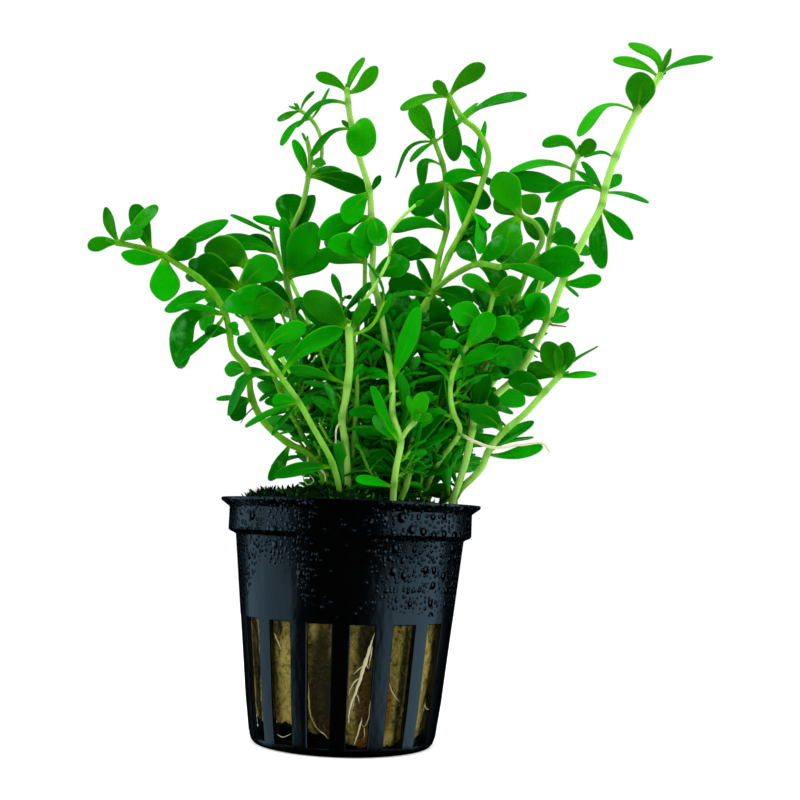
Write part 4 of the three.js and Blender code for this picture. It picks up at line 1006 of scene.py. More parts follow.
@dataclass(frozen=True)
class RootFinish:
    """Roots: white, or stained golden by the tint painted on them."""

    white: Colour = (0.36, 0.345, 0.20)
    golden: Colour = (0.17, 0.12, 0.022)

    def make(self) -> Material:
        """Makes the material.

        Returns:
            The material.
        """
        bench = FinishBench("root_cream", {"Specular IOR Level": 0.3})
        streaks = bench.cloud(0.9, 3.0)
        colour = bench.mix(bench.painted("tint") + (streaks - 0.5) * 0.5, self.white, self.golden)
        return bench.wear(Base_Color=colour, Roughness=0.45 + streaks * 0.2)


@dataclass(frozen=True)
class MossFinish:
    """Wet dark moss with a few fresh tips."""

    dark: Colour = (0.0006, 0.006, 0.0006)
    green: Colour = (0.002, 0.065, 0.001)
    fresh: Colour = (0.03, 0.27, 0.003)

    def make(self) -> Material:
        """Makes the material.

        Returns:
            The material.
        """
        bench = FinishBench("moss_green", {"Specular IOR Level": 0.3})
        lumps = bench.cloud(0.45, 3.0)
        tint = bench.painted("tint")
        green = bench.mix((lumps + (tint - 0.5) * 0.5).band(0.35, 0.72), self.dark, self.green)
        green = bench.mix(tint.band(0.75, 1.0), green, self.fresh)
        return bench.wear(Base_Color=green, Roughness=0.5 + lumps * 0.2)


class Slot(Enum):
    """The record's material slots."""

    PLASTIC = "pot_plastic"
    WOOL = "rockwool"
    MOSS = "moss"
    ROOT = "root"
    PLANT = "plant"


def place_piece(thing: Thing, slot: Slot, nodes: Sequence[str] = ()) -> Thing:
    """Gives a finished piece its body and hides the CAD nodes that it stands for.

    Args:
        thing: The piece, with its place in its mesh.
        slot: Where its finish comes from. Not used.
        nodes: The CAD nodes that it replaces.

    Returns:
        The piece.
    """
    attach(thing, BODY)
    if nodes:
        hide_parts(*nodes)
    faces = sum(len(face.vertices) - 2 for face in thing.data.polygons)
    log.info("%s: %d triangles, stands for %s", thing.name, faces, ", ".join(nodes) or "none")
    return thing


# Growth trees


class ShootGrowth(GrowthBench):
    """Skins loose edges with round stems, and keeps the faces as leaves."""

    def __init__(self) -> None:
        """Makes the tree."""
        super().__init__("grow_shoot", Sides="count", Stem="material", Leaf="material")
        shape = self.given("Geometry")
        beside = self.node("GeometryNodeInputMeshEdgeNeighbors").outputs[0]
        lone = self.node("FunctionNodeCompare", {"data_type": "INT", "operation": "EQUAL"}, {
            "A_INT": beside, "B_INT": 0}).outputs["Result"]
        line = self.chain("GeometryNodeMeshToCurve", shape, Selection=lone)
        stems = self.chain("GeometryNodeSetMaterial", self.tubes(line), Material=self.given("Stem"))
        leaves = self.chain("GeometryNodeDeleteGeometry", shape, {"domain": "EDGE"}, Selection=lone)
        leaves = self.chain("GeometryNodeSetMaterial", leaves, Material=self.given("Leaf"))
        both = self.node("GeometryNodeJoinGeometry")
        self.tree.links.new(leaves, both.inputs[0])
        self.tree.links.new(stems, both.inputs[0])
        real = self.chain("GeometryNodeRealizeInstances", both.outputs[0])
        self.tree.links.new(real, self.exit.inputs[0])


class LineGrowth(GrowthBench):
    """Skins loose edges with round roots."""

    def __init__(self) -> None:
        """Makes the tree."""
        super().__init__("grow_roots", Sides="count", Finish="material")
        line = self.chain("GeometryNodeMeshToCurve", self.given("Geometry"))
        self.finish(self.tubes(line), self.given("Finish"))


class FringeGrowth(GrowthBench):
    """Sets copies of one small thing over a surface, tilted and sized at random."""

    def __init__(self) -> None:
        """Makes the tree."""
        super().__init__("grow_fringe", Piece="thing", Density="number", Smallest="number", Largest="number",
                         Tilt="number", Dark="number", Bright="number", Seed="count", Finish="material")
        scatter = self.node("GeometryNodeDistributePointsOnFaces", {"distribute_method": "RANDOM"}, {
            "Mesh": self.given("Geometry"), "Seed": self.given("Seed"),
            "Density": Level(self, self.given("Density")) * self.painted("thick")})
        angles = self.node("ShaderNodeCombineXYZ", values={
            "X": self.chance(self._minus("Tilt"), self.given("Tilt"), 3),
            "Y": self.chance(self._minus("Tilt"), self.given("Tilt"), 4),
            "Z": self.chance(-math.pi, math.pi, 5)}).outputs["Vector"]
        turn = self.node("FunctionNodeEulerToRotation", values={"Euler": angles}).outputs["Rotation"]
        stance = self.node("FunctionNodeRotateRotation", {"rotation_space": "LOCAL"}, {
            "Rotation": scatter.outputs["Rotation"], "Rotate By": turn}).outputs["Rotation"]
        piece = self.node("GeometryNodeObjectInfo", values={"Object": self.given("Piece")})
        scale = self.chance(self.given("Smallest"), self.given("Largest"), 6)
        copies = self.chain("GeometryNodeInstanceOnPoints", scatter.outputs["Points"],
                            Instance=piece.outputs["Geometry"], Rotation=stance, Scale=scale)
        tint = self.chance(self.given("Dark"), self.given("Bright"), 7)
        painted = self.chain("GeometryNodeStoreNamedAttribute", copies, {
            "data_type": "FLOAT", "domain": "INSTANCE"}, Name="tint", Value=tint)
        self.finish(painted, self.given("Finish"))

    def _minus(self, name: str) -> Level:
        """Returns one of the inputs below 0."""
        return Level(self, self.given(name)) * -1.0


class RoundGrowth(GrowthBench):
    """Sets bays side by side round the axis, welds them, and cuts slots out of the floor."""

    def __init__(self) -> None:
        """Makes the tree."""
        super().__init__("set_bays", Bays="count", Turn="number", Slots="count", Cutter="vector",
                         Reach="number", Finish="material")
        bays = self._ringed(self.given("Geometry"), "Bays", self.given("Turn"))
        welded = self.chain("GeometryNodeMergeByDistance", bays, Distance=0.004 * MM)
        block = self.node("GeometryNodeMeshCube", values={"Size": self.given("Cutter")}).outputs["Mesh"]
        out = self.node("ShaderNodeCombineXYZ", values={"X": self.given("Reach")}).outputs["Vector"]
        moved = self.chain("GeometryNodeTransform", block, Translation=out)
        cutters = self._ringed(moved, "Slots", 0.0)
        cut = self.node("GeometryNodeMeshBoolean", {"operation": "DIFFERENCE", "solver": "EXACT"},
                        {"Mesh 1": welded, "Mesh 2": cutters}).outputs["Mesh"]
        self.finish(cut, self.given("Finish"))

    def _ringed(self, shape: Socket, count: str, start: Any) -> Socket:
        """Repeats a shape round the axis.

        Args:
            shape: The shape.
            count: The input that holds how many copies there are.
            start: Angle of the first copy.

        Returns:
            The copies as meshes.
        """
        points = self.node("GeometryNodePoints", values={"Count": self.given(count)}).outputs[0]
        index = Level(self, self.node("GeometryNodeInputIndex").outputs["Index"])
        first = Level(self, start) if isinstance(start, Socket) else start
        angle = index * (2 * math.pi) / Level(self, self.given(count)) + first
        turn = self.node("FunctionNodeAxisAngleToRotation", values={
            "Axis": Vector((0, 0, 1)), "Angle": angle}).outputs["Rotation"]
        copies = self.chain("GeometryNodeInstanceOnPoints", points, Instance=shape, Rotation=turn)
        return self.chain("GeometryNodeRealizeInstances", copies)


@dataclass(frozen=True)
class Workshop:
    """The materials and the growth trees, each made once."""

    leaf: Material = field(default_factory=LeafFinish().make)
    stem: Material = field(default_factory=StemFinish().make)
    plastic: Material = field(default_factory=PlasticFinish().make)
    wool: Material = field(default_factory=WoolFinish().make)
    root: Material = field(default_factory=RootFinish().make)
    moss: Material = field(default_factory=MossFinish().make)
    shoot: ShootGrowth = field(default_factory=ShootGrowth)
    line: LineGrowth = field(default_factory=LineGrowth)
    fringe: FringeGrowth = field(default_factory=FringeGrowth)
    round: RoundGrowth = field(default_factory=RoundGrowth)


# Net pot


@dataclass(frozen=True)
class PotSizes:
    """The net pot's radii and heights."""

    height: float = 50.0
    lip_radius: float = 27.5
    band_radius: float = 25.7
    band_foot: float = 43.4
    band_head: float = 48.2
    wall_head_radius: float = 24.1
    wall_head: float = 42.5
    wall_foot_radius: float = 20.5
    wall_foot: float = 9.0
    heel_radius: float = 19.5
    heel: float = 2.2
    floor_radius: float = 17.8
    floor: float = 1.2
    wall: float = 0.9
    heel_slope: float = 0.055

    def outer(self) -> list[Pair]:
        """Lists the outside of the wall from the foot to the lip.

        Returns:
            Radii and heights.
        """
        head, band, lip = self.wall_head_radius, self.band_radius, self.lip_radius
        return [
            (self.floor_radius, 0.0), (self.floor_radius + 0.75, 0.18), (self.heel_radius - 0.5, 0.7),
            (self.heel_radius, self.heel), (self.wall_foot_radius, self.wall_foot),
            (head, self.wall_head - 0.15), (head + 0.2, self.wall_head + 0.1),
            (band - 0.35, self.band_foot - 0.35), (band, self.band_foot + 0.05),
            (band, self.band_head - 0.3), (band + 0.12, self.band_head), (lip - 0.1, self.height - 0.65),
            (lip, self.height - 0.4), (lip, self.height - 0.1), (lip - 0.12, self.height),
        ]

    def inner(self) -> list[Pair]:
        """Lists the inside of the wall from the floor to the lip.

        Returns:
            Radii and heights.
        """
        floor, head = self.floor_radius - self.wall, self.wall_head_radius - self.wall
        band, lip = self.band_radius - self.wall, self.lip_radius
        return [
            (floor, self.floor), (floor + 0.35, self.floor + 0.1), (floor + 0.6, self.floor + 0.25),
            (self.heel_radius - self.wall, self.heel), (self.wall_foot_radius - self.wall, self.wall_foot),
            (head, self.wall_head + 0.1), (head + 0.1, self.wall_head + 0.4),
            (band - 0.2, self.band_foot + 0.35), (band, self.band_foot + 0.7), (band, self.band_head - 0.1),
            (band + 0.1, self.band_head + 0.15), (lip - 0.95, self.height - 0.35),
            (lip - 0.85, self.height - 0.15), (lip - 0.7, self.height - 0.04), (lip - 0.55, self.height),
        ]

    def wall_radius(self, z: float) -> float:
        """Returns the slotted wall's outer radius at a height."""
        share = (z - self.wall_foot) / (self.wall_head - self.wall_foot)
        return blend(self.wall_foot_radius, self.wall_head_radius, share)

    def heel_gap(self, z: float) -> float:
        """Returns how far the wall draws in below the slotted part, at a height."""
        return self.heel_slope * (self.wall_foot - z) if z < self.wall_foot else 0.0


@dataclass
class NetPot:
    """The black pot: a lip, a plain upper wall and a slotted lower one."""

    sizes: PotSizes
    slots: int = 16
    first_slot: float = -79.4
    slot_arc: float = 13.0
    slot_foot: float = 1.7
    slot_head: float = 25.8
    slot_radius: float = 22.0
    chamfer: float = 0.16
    floor_slots: int = 8
    floor_slot: tuple[float, float, float] = (7.0, 2.6, 6.0)
    floor_slot_reach: float = 10.5
    sharp_angle: float = 38.0

    def build(self, shop: Workshop) -> Thing:
        """Makes the pot.

        Args:
            shop: The materials and the growth trees.

        Returns:
            The pot.
        """
        pot = self._bay().thing("pot_moulding", smooth=False)
        shop.round.grow(
            pot, Bays=self.slots, Turn=math.radians(self.first_slot), Slots=self.floor_slots,
            Cutter=tuple(side * MM for side in self.floor_slot), Reach=self.floor_slot_reach * MM,
            Finish=shop.plastic)
        pot.data.shade_smooth()
        pot.data.set_sharp_from_angle(angle=math.radians(self.sharp_angle))
        return place_piece(pot, Slot.PLASTIC, ["net_pot"])

    def _bay(self) -> Meshwork:
        """Makes one slot with its share of the wall and the floor, centred on +X.

        Returns:
            The bay's mesh.
        """
        work = Meshwork()
        half, bay = self.slot_arc / 2, 180 / self.slots
        angle_out, angle_in = half + math.degrees(self.chamfer / self.slot_radius), half
        outer = self._rows(self.sizes.outer(), self.slot_foot - self.chamfer, self.slot_head + self.chamfer)
        inner = self._rows(self.sizes.inner(), self.slot_foot, self.slot_head)
        skin_out = self._grid(work, outer, self._columns(angle_out, bay))
        skin_in = self._grid(work, inner, self._columns(angle_in, bay))
        hole_out = self._cells(work, outer, skin_out, False)
        hole_in = self._cells(work, inner, skin_in, True)
        work.skin(skin_out[-1], skin_in[-1], closed=False)
        edge = [work.corner(self._sunk(work.corners[index], work.corners[deep]))
                for index, deep in zip(hole_out, hole_in)]
        work.skin(edge, hole_out)
        work.skin(hole_in, edge)
        self._disc(work, skin_out[0], 0.0, True)
        self._disc(work, skin_in[0], self.sizes.floor, False)
        return work

    def _sunk(self, outside: Vector, inside: Vector) -> Vector:
        """Returns the corner where a slot's chamfer ends, a little below the outer skin."""
        flat = Vector((inside.x, inside.y)).normalized() * (math.hypot(outside.x, outside.y) - self.chamfer)
        return Vector((flat.x, flat.y, inside.z))

    @staticmethod
    def _columns(hole: float, bay: float) -> list[float]:
        """Returns the compass angles of a skin's columns, with the slot's sides among them."""
        return [-bay, -(bay + hole) / 2, -hole, -hole / 2, 0.0, hole / 2, hole, (bay + hole) / 2, bay]

    @staticmethod
    def _rows(profile: Sequence[Pair], low: float, high: float) -> list[Row]:
        """Adds a slot's foot and head to a profile.

        Args:
            profile: Radii and heights, from the foot up.
            low: Height of the slot's foot.
            high: Height of its head.

        Returns:
            Radii, heights and whether the slot reaches from this row to the next.
        """
        extra = []
        for level in (low, high):
            for (r0, z0), (r1, z1) in zip(profile, profile[1:]):
                if z0 < level < z1:
                    extra.append((blend(r0, r1, (level - z0) / (z1 - z0)), level))
        rows = sorted([*profile, *extra], key=lambda row: (row[1], -row[0] if row[1] > 49 else row[0]))
        return [(radius, z, low - 1e-6 <= z < high - 1e-6) for radius, z in rows]

    @staticmethod
    def _grid(work: Meshwork, rows: Sequence[Row], columns: Sequence[float]) -> list[list[int]]:
        """Adds a skin's corners and returns their indices row by row."""
        return [[work.corner(polar(radius, angle, z)) for angle in columns] for radius, z, _ in rows]

    @staticmethod
    def _cells(work: Meshwork, rows: Sequence[Row], skin: list[list[int]], turned: bool) -> list[int]:
        """Adds a skin's faces except in the slot.

        Args:
            work: The mesh.
            rows: The skin's rows.
            skin: Its corners.
            turned: Whether it is the inner skin.

        Returns:
            The corners round the slot, in order.
        """
        last = len(skin[0]) - 3
        for row, (_, _, open_row) in enumerate(rows[:-1]):
            for column in range(len(skin[0]) - 1):
                if open_row and 2 <= column < last:
                    continue
                low, high = skin[row], skin[row + 1]
                face = (low[column], low[column + 1], high[column + 1], high[column])
                work.faces.append(face[::-1] if turned else face)
        low = next(index for index, row in enumerate(rows) if row[2])
        high = max(index for index, row in enumerate(rows) if row[2]) + 1
        foot = [skin[low][column] for column in range(2, last + 1)]
        right = [skin[row][last] for row in range(low + 1, high)]
        head = [skin[high][column] for column in range(last, 1, -1)]
        left = [skin[row][2] for row in range(high - 1, low, -1)]
        return foot + right + head + left

    @staticmethod
    def _disc(work: Meshwork, rim: Sequence[int], z: float, turned: bool) -> None:
        """Adds one bay's wedge of the floor.

        Args:
            work: The mesh.
            rim: The corners at the floor's edge.
            z: The floor's height.
            turned: Whether the wedge faces down.
        """
        middle = work.corner(Vector((0.0, 0.0, z)))
        for first, second in zip(rim, rim[1:]):
            work.faces.append((second, first, middle) if turned else (first, second, middle))


# Rockwool, roots and moss


@dataclass
class WoolPlug:
    """The plug of rockwool that fills the pot."""

    pot: PotSizes
    head: float = 48.6
    air: float = 0.45
    slack: float = 0.42
    columns: int = 256
    levels: int = 84
    stain_and_shade_reach: Pair = (1.45, 0.9)
    end_shares: tuple[float, ...] = (0.985, 0.95, 0.86, 0.7, 0.5, 0.3, 0.12)
    grown: Pair = (1.5, 26.5)
    grown_levels: int = 24
    grown_columns: int = 96
    fibres_per_mm2: float = 0.5
    feet: tuple[Pair, ...] = (
        (-180, 5.6), (-160, 5.4), (-147, 5.0), (-136, 5.8), (-125, 5.6), (-112, 4.9), (-102, 4.2), (-92, 2.9),
        (-79, 2.1), (-57, 2.0), (-44, 2.4), (-33, 3.0), (-10, 4.6), (30, 5.4), (90, 5.6), (180, 5.6),
    )
    # Patches on the plug by kind, compass angle, height, half angle, half height and strength. Rust and straw
    # are the wool's own colour; the "shade" ones are painted shade, at the slots' shadowed edges, over the
    # darker slots and round the back.
    stains_and_shade: tuple[tuple[str, float, float, float, float, float], ...] = (
        ("shade", -101, 13, 8, 15, 0.9), ("shade", -76.5, 22.5, 5.5, 5.5, 1.0),
        ("shade", -52, 14, 2.2, 15, 1.0), ("shade", -57, 21.5, 5.5, 4.5, 0.45),
        ("shade", -128, 24.6, 1.8, 1.8, 1.0), ("shade", -152, 14, 2.4, 16, 1.0),
        ("shade", -76.5, 14, 6, 13, 0.72), ("shade", -57, 13, 6, 14, 0.42),
        ("shade", -27, 14, 1.2, 14, 0.6), ("shade", 60, 14, 90, 20, 0.25),
        ("rust", -75.5, 10, 4.5, 8, 0.8), ("rust", -75, 4.5, 5, 4, 0.9), ("rust", -61, 9.5, 3.2, 6, 1.0),
        ("rust", -97.5, 6, 3.5, 4.5, 0.8), ("rust", 40, 12, 12, 7, 0.8), ("rust", 120, 9, 14, 6, 0.8),
        ("rust", 165, 15, 7, 8, 0.7), ("straw", -105.8, 24.2, 2.4, 1.7, 1.0), ("straw", -124, 12, 7, 12, 0.6),
        ("straw", -125, 18.5, 4, 1.2, 0.7), ("straw", -96.4, 20, 1.2, 1.2, 1.0),
        ("straw", -34, 15, 6, 12, 0.5), ("straw", -36.5, 4.6, 2.4, 2.6, 0.9),
        ("straw", -146, 14, 3.5, 15, 0.6), ("straw", -84.6, 17, 1.5, 9, 0.6),
        ("straw", -58, 3.5, 4, 2.2, 0.6), ("straw", 80, 18, 14, 7, 0.7), ("straw", -170, 8, 6, 6, 0.7),
    )

    def build(self, shop: Workshop) -> Thing:
        """Makes the plug with the loose fibres on it.

        Args:
            shop: The materials and the growth trees.

        Returns:
            The plug.
        """
        plug = self._body().thing("wool_plug")
        plug.data.materials.append(shop.wool)
        place_piece(plug, Slot.WOOL, ["rockwool_plug"])
        skin = self._skin().thing("wool_fibres")
        fibre = self._fibre().thing("fibre_pattern")
        shop.fringe.grow(skin, Piece=fibre, Density=self.fibres_per_mm2 / MM**2, Smallest=0.5, Largest=1.3,
                         Tilt=0.42, Dark=0.0, Bright=0.4, Seed=5, Finish=shop.wool)
        bpy.data.objects.remove(fibre)
        place_piece(skin, Slot.WOOL)
        return plug

    def foot(self, angle: float) -> float:
        """Finds the height of the plug's ragged foot.

        Args:
            angle: The compass angle.

        Returns:
            The height.
        """
        turned = (angle + 180) % 360 - 180
        for (a0, z0), (a1, z1) in zip(self.feet, self.feet[1:]):
            if a0 <= turned <= a1:
                return blend(z0, z1, rise((turned - a0) / (a1 - a0)))
        return self.feet[0][1]

    def shade_and_stains_at(self, angle: float, z: float) -> dict[str, float]:
        """Finds how strong each kind of stain and the painted shade are.

        Args:
            angle: The compass angle.
            z: The height.

        Returns:
            The strengths from 0 to 1, by kind.
        """
        turned = (angle + 180) % 360 - 180
        reach, soft = self.stain_and_shade_reach
        found = {"shade": 0.0, "rust": 0.0, "straw": 0.0}
        for kind, middle, height, half_angle, half_height, strength in self.stains_and_shade:
            aside = (turned - middle) / half_angle
            if abs(aside) > reach:
                continue
            away = math.hypot(aside, (z - height) / half_height)
            found[kind] = max(found[kind], strength * rise((reach - away) / soft))
        return found

    def radius(self, angle: float, z: float) -> float:
        """Finds how far the plug reaches.

        Args:
            angle: The compass angle.
            z: The height.

        Returns:
            The radius.
        """
        wall = min(self.pot.wall_radius(z), self.pot.wall_head_radius)
        if z > self.pot.band_foot + 1:
            wall = self.pot.band_radius
        spot = polar(10.0, angle, z)
        lumps = noise.noise(Vector((spot.x * 0.35, spot.y * 0.35, z * 0.16))) * 0.5
        fleece = noise.noise(Vector((spot.x * 1.3, spot.y * 1.3, z * 0.7))) * 0.22
        crumbs = noise.noise(Vector((spot.x * 3.6, spot.y * 3.6, z * 2.2))) * 0.12
        creases = max(0.0, noise.noise(Vector((spot.x * 0.55, spot.y * 0.55, z * 0.05 + 9))) - 0.3) * 0.8
        smooth = wall - self.pot.wall - self.air - self.pot.heel_gap(z) - self.slack
        return smooth - creases + lumps * 0.6 + fleece + crumbs

    def _ring(self, work: Meshwork, level: float) -> list[int]:
        """Adds a ring of corners.

        Args:
            work: The mesh.
            level: Share of the plug's height.

        Returns:
            The ring.
        """
        ring = []
        for column in range(self.columns):
            angle = column * 360 / self.columns
            ragged = noise.noise(Vector((angle * 0.16, 3.0, 0.0))) * 0.7
            ragged += noise.noise(Vector((angle * 0.6, 5.0, 0.0))) * 0.5
            z = blend(self.foot(angle) + ragged, self.head - 0.4, level)
            # Each corner carries its rust, its straw and its painted shade.
            ring.append(work.corner(polar(self.radius(angle, z), angle, z), **self.shade_and_stains_at(angle, z)))
        return ring

    def _body(self) -> Meshwork:
        """Makes the closed plug.

        Returns:
            Its mesh.
        """
        work = Meshwork()
        rings = [self._ring(work, level / self.levels) for level in range(self.levels + 1)]
        work.sheath(rings)
        for outline, top in ((rings[0], False), (rings[-1], True)):
            last = outline
            for share in self.end_shares:
                ring = []
                for index in outline:
                    edge = work.corners[index]
                    flat = Vector((edge.x * share, edge.y * share, 0))
                    bumps = noise.noise(flat * 0.45) * 0.9 + noise.noise(flat * 1.4) * 0.4
                    if top:
                        z = min(self.head - 0.15 + (1 - share) * 0.4 + bumps * 0.35, self.head + 0.25)
                    else:
                        z = edge.z + (1 - share) * 2.6 + bumps * 0.6
                    # Painted shade: the plug's top and bottom are darkened evenly.
                    ring.append(work.corner(Vector((flat.x, flat.y, z)), shade=0.4))
                work.skin(last, ring) if top else work.skin(ring, last)
                last = ring
            middle = sum((work.corners[index] for index in last), Vector()) / len(last)
            # Painted shade at the middle of the top and of the bottom too.
            work.fan(last, work.corner(middle, shade=0.4), turned=not top)
        return work

    def _skin(self) -> Meshwork:
        """Makes the part of the plug's side that fibres grow on.

        Returns:
            Its mesh.
        """
        work = Meshwork()
        rows = []
        for level in range(self.grown_levels + 1):
            z = blend(*self.grown, level / self.grown_levels)
            row = []
            for column in range(self.grown_columns + 1):
                angle = column * 360 / self.grown_columns
                foot = self.foot(angle)
                place = polar(self.radius(angle, max(z, foot)) - 0.05, angle, max(z, foot))
                row.append(work.corner(place, thick=rise(z - foot + 0.6)))
            rows.append(row)
        work.sheath(rows, closed=False)
        return work

    @staticmethod
    def _fibre() -> Meshwork:
        """Makes one fibre: a thin crooked strand that lies near the surface.

        Returns:
            Its mesh.
        """
        work = Meshwork()
        path = (((-1.1, 0.0, -0.05), 0.012), ((-0.3, 0.16, 0.14), 0.024), ((0.5, -0.08, 0.16), 0.024),
                ((1.3, 0.1, 0.0), 0.012))
        rings = []
        for place, girth in path:
            outs = [Vector((0, girth * math.cos(turn), girth * math.sin(turn))) for turn in (0.0, 2.1, 4.2)]
            rings.append([work.corner(Vector(place) + out) for out in outs])
        work.sheath(rings)
        work.faces.append(tuple(rings[0][::-1]))
        work.faces.append(tuple(rings[-1]))
        return work


@dataclass
class Roots:
    """The roots that show in the slots."""

    pot: PotSizes
    sides: int = 8
    sample: float = 0.5
    sunk: float = 0.12
    sway: float = 0.07
    slimness: float = 0.66

    def build(self, shop: Workshop) -> list[Thing]:
        """Makes the roots, one piece for each CAD node.

        Args:
            shop: The materials and the growth trees.

        Returns:
            The pieces.
        """
        made = []
        for seed, (node, strands) in enumerate(STRANDS.items()):
            dice = random.Random(seed)
            work = Meshwork()
            for strand in strands:
                self._draw(work, strand, dice)
            thing = work.thing(f"{node}_strands")
            shop.line.grow(thing, Sides=self.sides, Finish=shop.root)
            made.append(place_piece(thing, Slot.ROOT, [node]))
        return made

    def _draw(self, work: Meshwork, strand: Strand, dice: random.Random) -> None:
        """Adds a strand's line.

        Args:
            work: The mesh.
            strand: Its row of the table.
            dice: What its small bends come from.
        """
        thick, tint, places = strand
        pot = self.pot
        curve = Spline([polar(pot.wall_radius(z) - pot.wall / 2 - self.sunk - pot.heel_gap(z), angle, z)
                        for angle, z in places])
        steps = max(6, int(curve.length() / self.sample))
        line = []
        for step in range(steps + 1):
            share = step / steps
            sway = Vector((dice.uniform(-1, 1), 0.0, dice.uniform(-1, 1))) * self.sway
            taper = 0.25 + 0.75 * rise(share * 4) * rise((1.1 - share) * 1.2)
            girth = thick * self.slimness * taper * (0.3 if step in (0, steps) else dice.uniform(0.85, 1.15))
            line.append(work.corner(curve.at(share) + sway, girth=girth, tint=tint))
        work.line(line)


@dataclass
class MossTuft:
    """The moss: a tuft on the plug's left shoulder and a low mound between the stems' feet.

    Each lump has its centre, its half sizes, its turn and how thickly it is grown over.
    """

    lumps: tuple[tuple[Vector, Vector, float, float], ...] = (
        (Vector((-15.0, -9.4, 48.6)), Vector((7.6, 5.3, 2.7)), 28.0, 1.0),
        (Vector((-3.0, -13.5, 48.8)), Vector((12.5, 8.0, 3.5)), 0.0, 0.7),
        (Vector((12.0, -9.0, 48.6)), Vector((9.0, 7.0, 1.3)), -30.0, 0.4),
    )
    bare: float = 48.4
    rim: float = 24.2
    rows: int = 13
    columns: int = 40
    hairs_per_mm2: float = 7.0
    leaflets_per_mm2: float = 3.2

    def build(self, shop: Workshop) -> Thing:
        """Makes the tuft, its hairs and its leaflets as three pieces.

        Args:
            shop: The materials and the growth trees.

        Returns:
            The tuft.
        """
        cushion = self._cushion(1.0).thing("moss_cushion")
        cushion.data.materials.append(shop.moss)
        hair, leaf = self._hair().thing("hair_pattern"), self._leaflet().thing("leaflet_pattern")
        hairs = self._cushion(0.97).thing("moss_hairs")
        shop.fringe.grow(hairs, Piece=hair, Density=self.hairs_per_mm2 / MM**2, Smallest=0.22, Largest=0.7,
                         Tilt=1.0, Dark=0.0, Bright=0.45, Seed=2, Finish=shop.moss)
        leaves = self._cushion(0.98).thing("moss_leaves")
        shop.fringe.grow(leaves, Piece=leaf, Density=self.leaflets_per_mm2 / MM**2, Smallest=0.4,
                         Largest=1.35, Tilt=1.2, Dark=0.1, Bright=1.0, Seed=9, Finish=shop.moss)
        for pattern in (hair, leaf):
            bpy.data.objects.remove(pattern)
        place_piece(cushion, Slot.MOSS, ["moss_tuft"])
        place_piece(leaves, Slot.MOSS)
        place_piece(hairs, Slot.MOSS)
        return cushion

    def _cushion(self, share: float) -> Meshwork:
        """Returns the lumps as closed cushions.

        Args:
            share: Their size.

        Returns:
            The mesh.
        """
        work = Meshwork()
        for centre, spread, turned, thick in self.lumps:
            turn = Matrix.Rotation(math.radians(turned), 3, "Z")
            rings = []
            for row in range(self.rows):
                tilt = math.pi * row / (2 * (self.rows - 1))
                ring = []
                for column in range(self.columns):
                    angle = 2 * math.pi * column / self.columns
                    flat = math.cos(tilt)
                    way = Vector((math.cos(angle) * flat, math.sin(angle) * flat, math.sin(tilt)))
                    lump = 1 + 0.16 * noise.noise(way * 2.6 + centre) + 0.07 * noise.noise(way * 7.0)
                    place = centre + turn @ (way * spread) * (share * lump)
                    reach = max(1.0, math.hypot(place.x, place.y) / self.rim)
                    kept = Vector((place.x / reach, place.y / reach, place.z))
                    ring.append(work.corner(kept, thick=thick))
                rings.append(ring)
            work.sheath(rings)
            work.fan(rings[0], work.corner(Vector((centre.x, centre.y, self.bare)), thick=0.0), turned=True)
        return work

    @staticmethod
    def _hair() -> Meshwork:
        """Makes one hair: a bent thin spike.

        Returns:
            Its mesh.
        """
        work = Meshwork()
        rings = []
        for place, girth in (((0, 0, -0.2), 0.07), ((0.12, 0, 0.7), 0.06), ((0.4, 0.05, 1.4), 0.045)):
            outs = [Vector((girth * math.cos(turn), girth * math.sin(turn), 0)) for turn in (0.0, 2.1, 4.2)]
            rings.append([work.corner(Vector(place) + out) for out in outs])
        work.sheath(rings)
        work.fan(rings[-1], work.corner(Vector((0.75, 0.1, 1.9))))
        work.faces.append(tuple(rings[0][::-1]))
        return work

    @staticmethod
    def _leaflet() -> Meshwork:
        """Makes one moss leaflet: a small pointed blade with two sides.

        Returns:
            Its mesh.
        """
        work = Meshwork()
        outline = ((0.0, 0.08), (0.35, 0.24), (0.8, 0.22), (1.15, 0.06))
        tops, feet = [], []
        for side, sunk in ((tops, 0.0), (feet, 0.05)):
            for reach, half in outline:
                height = 0.45 * reach + 0.16 * reach * reach - sunk
                side.append([work.corner(Vector((reach, hand * half, height))) for hand in (-1, 0, 1)])
        work.sheath([row[::-1] for row in tops], closed=False)
        work.sheath(feet, closed=False)
        for hand, turned in ((0, False), (2, True)):
            rim = [row[hand] for row in tops], [row[hand] for row in feet]
            work.skin(*(rim[::-1] if turned else rim), closed=False)
        work.skin(feet[0], tops[0], closed=False)
        work.skin(tops[-1], feet[-1], closed=False)
        return work


# Shoots


@dataclass
class Leaf:
    """One leaf: where it starts and ends, and how it lies."""

    foot: Vector
    tip: Vector
    growth: Vector
    seen_width: float
    lift: float
    facing: Optional[float] = None
    youth: float = 0.0
    fine: bool = True
    # The range of the leaf's random tone; the side shoots inside the crown keep it low, as painted shade.
    tint: Pair = (0.0, 1.0)


@dataclass
class Stem:
    """One stem with its leaves."""

    name: str
    foot_girth: float
    tip_girth: float
    points: list[Vector]
    leaves: list[Leaf]
    nodes: list[float]
    forked: bool = False
    low: bool = False


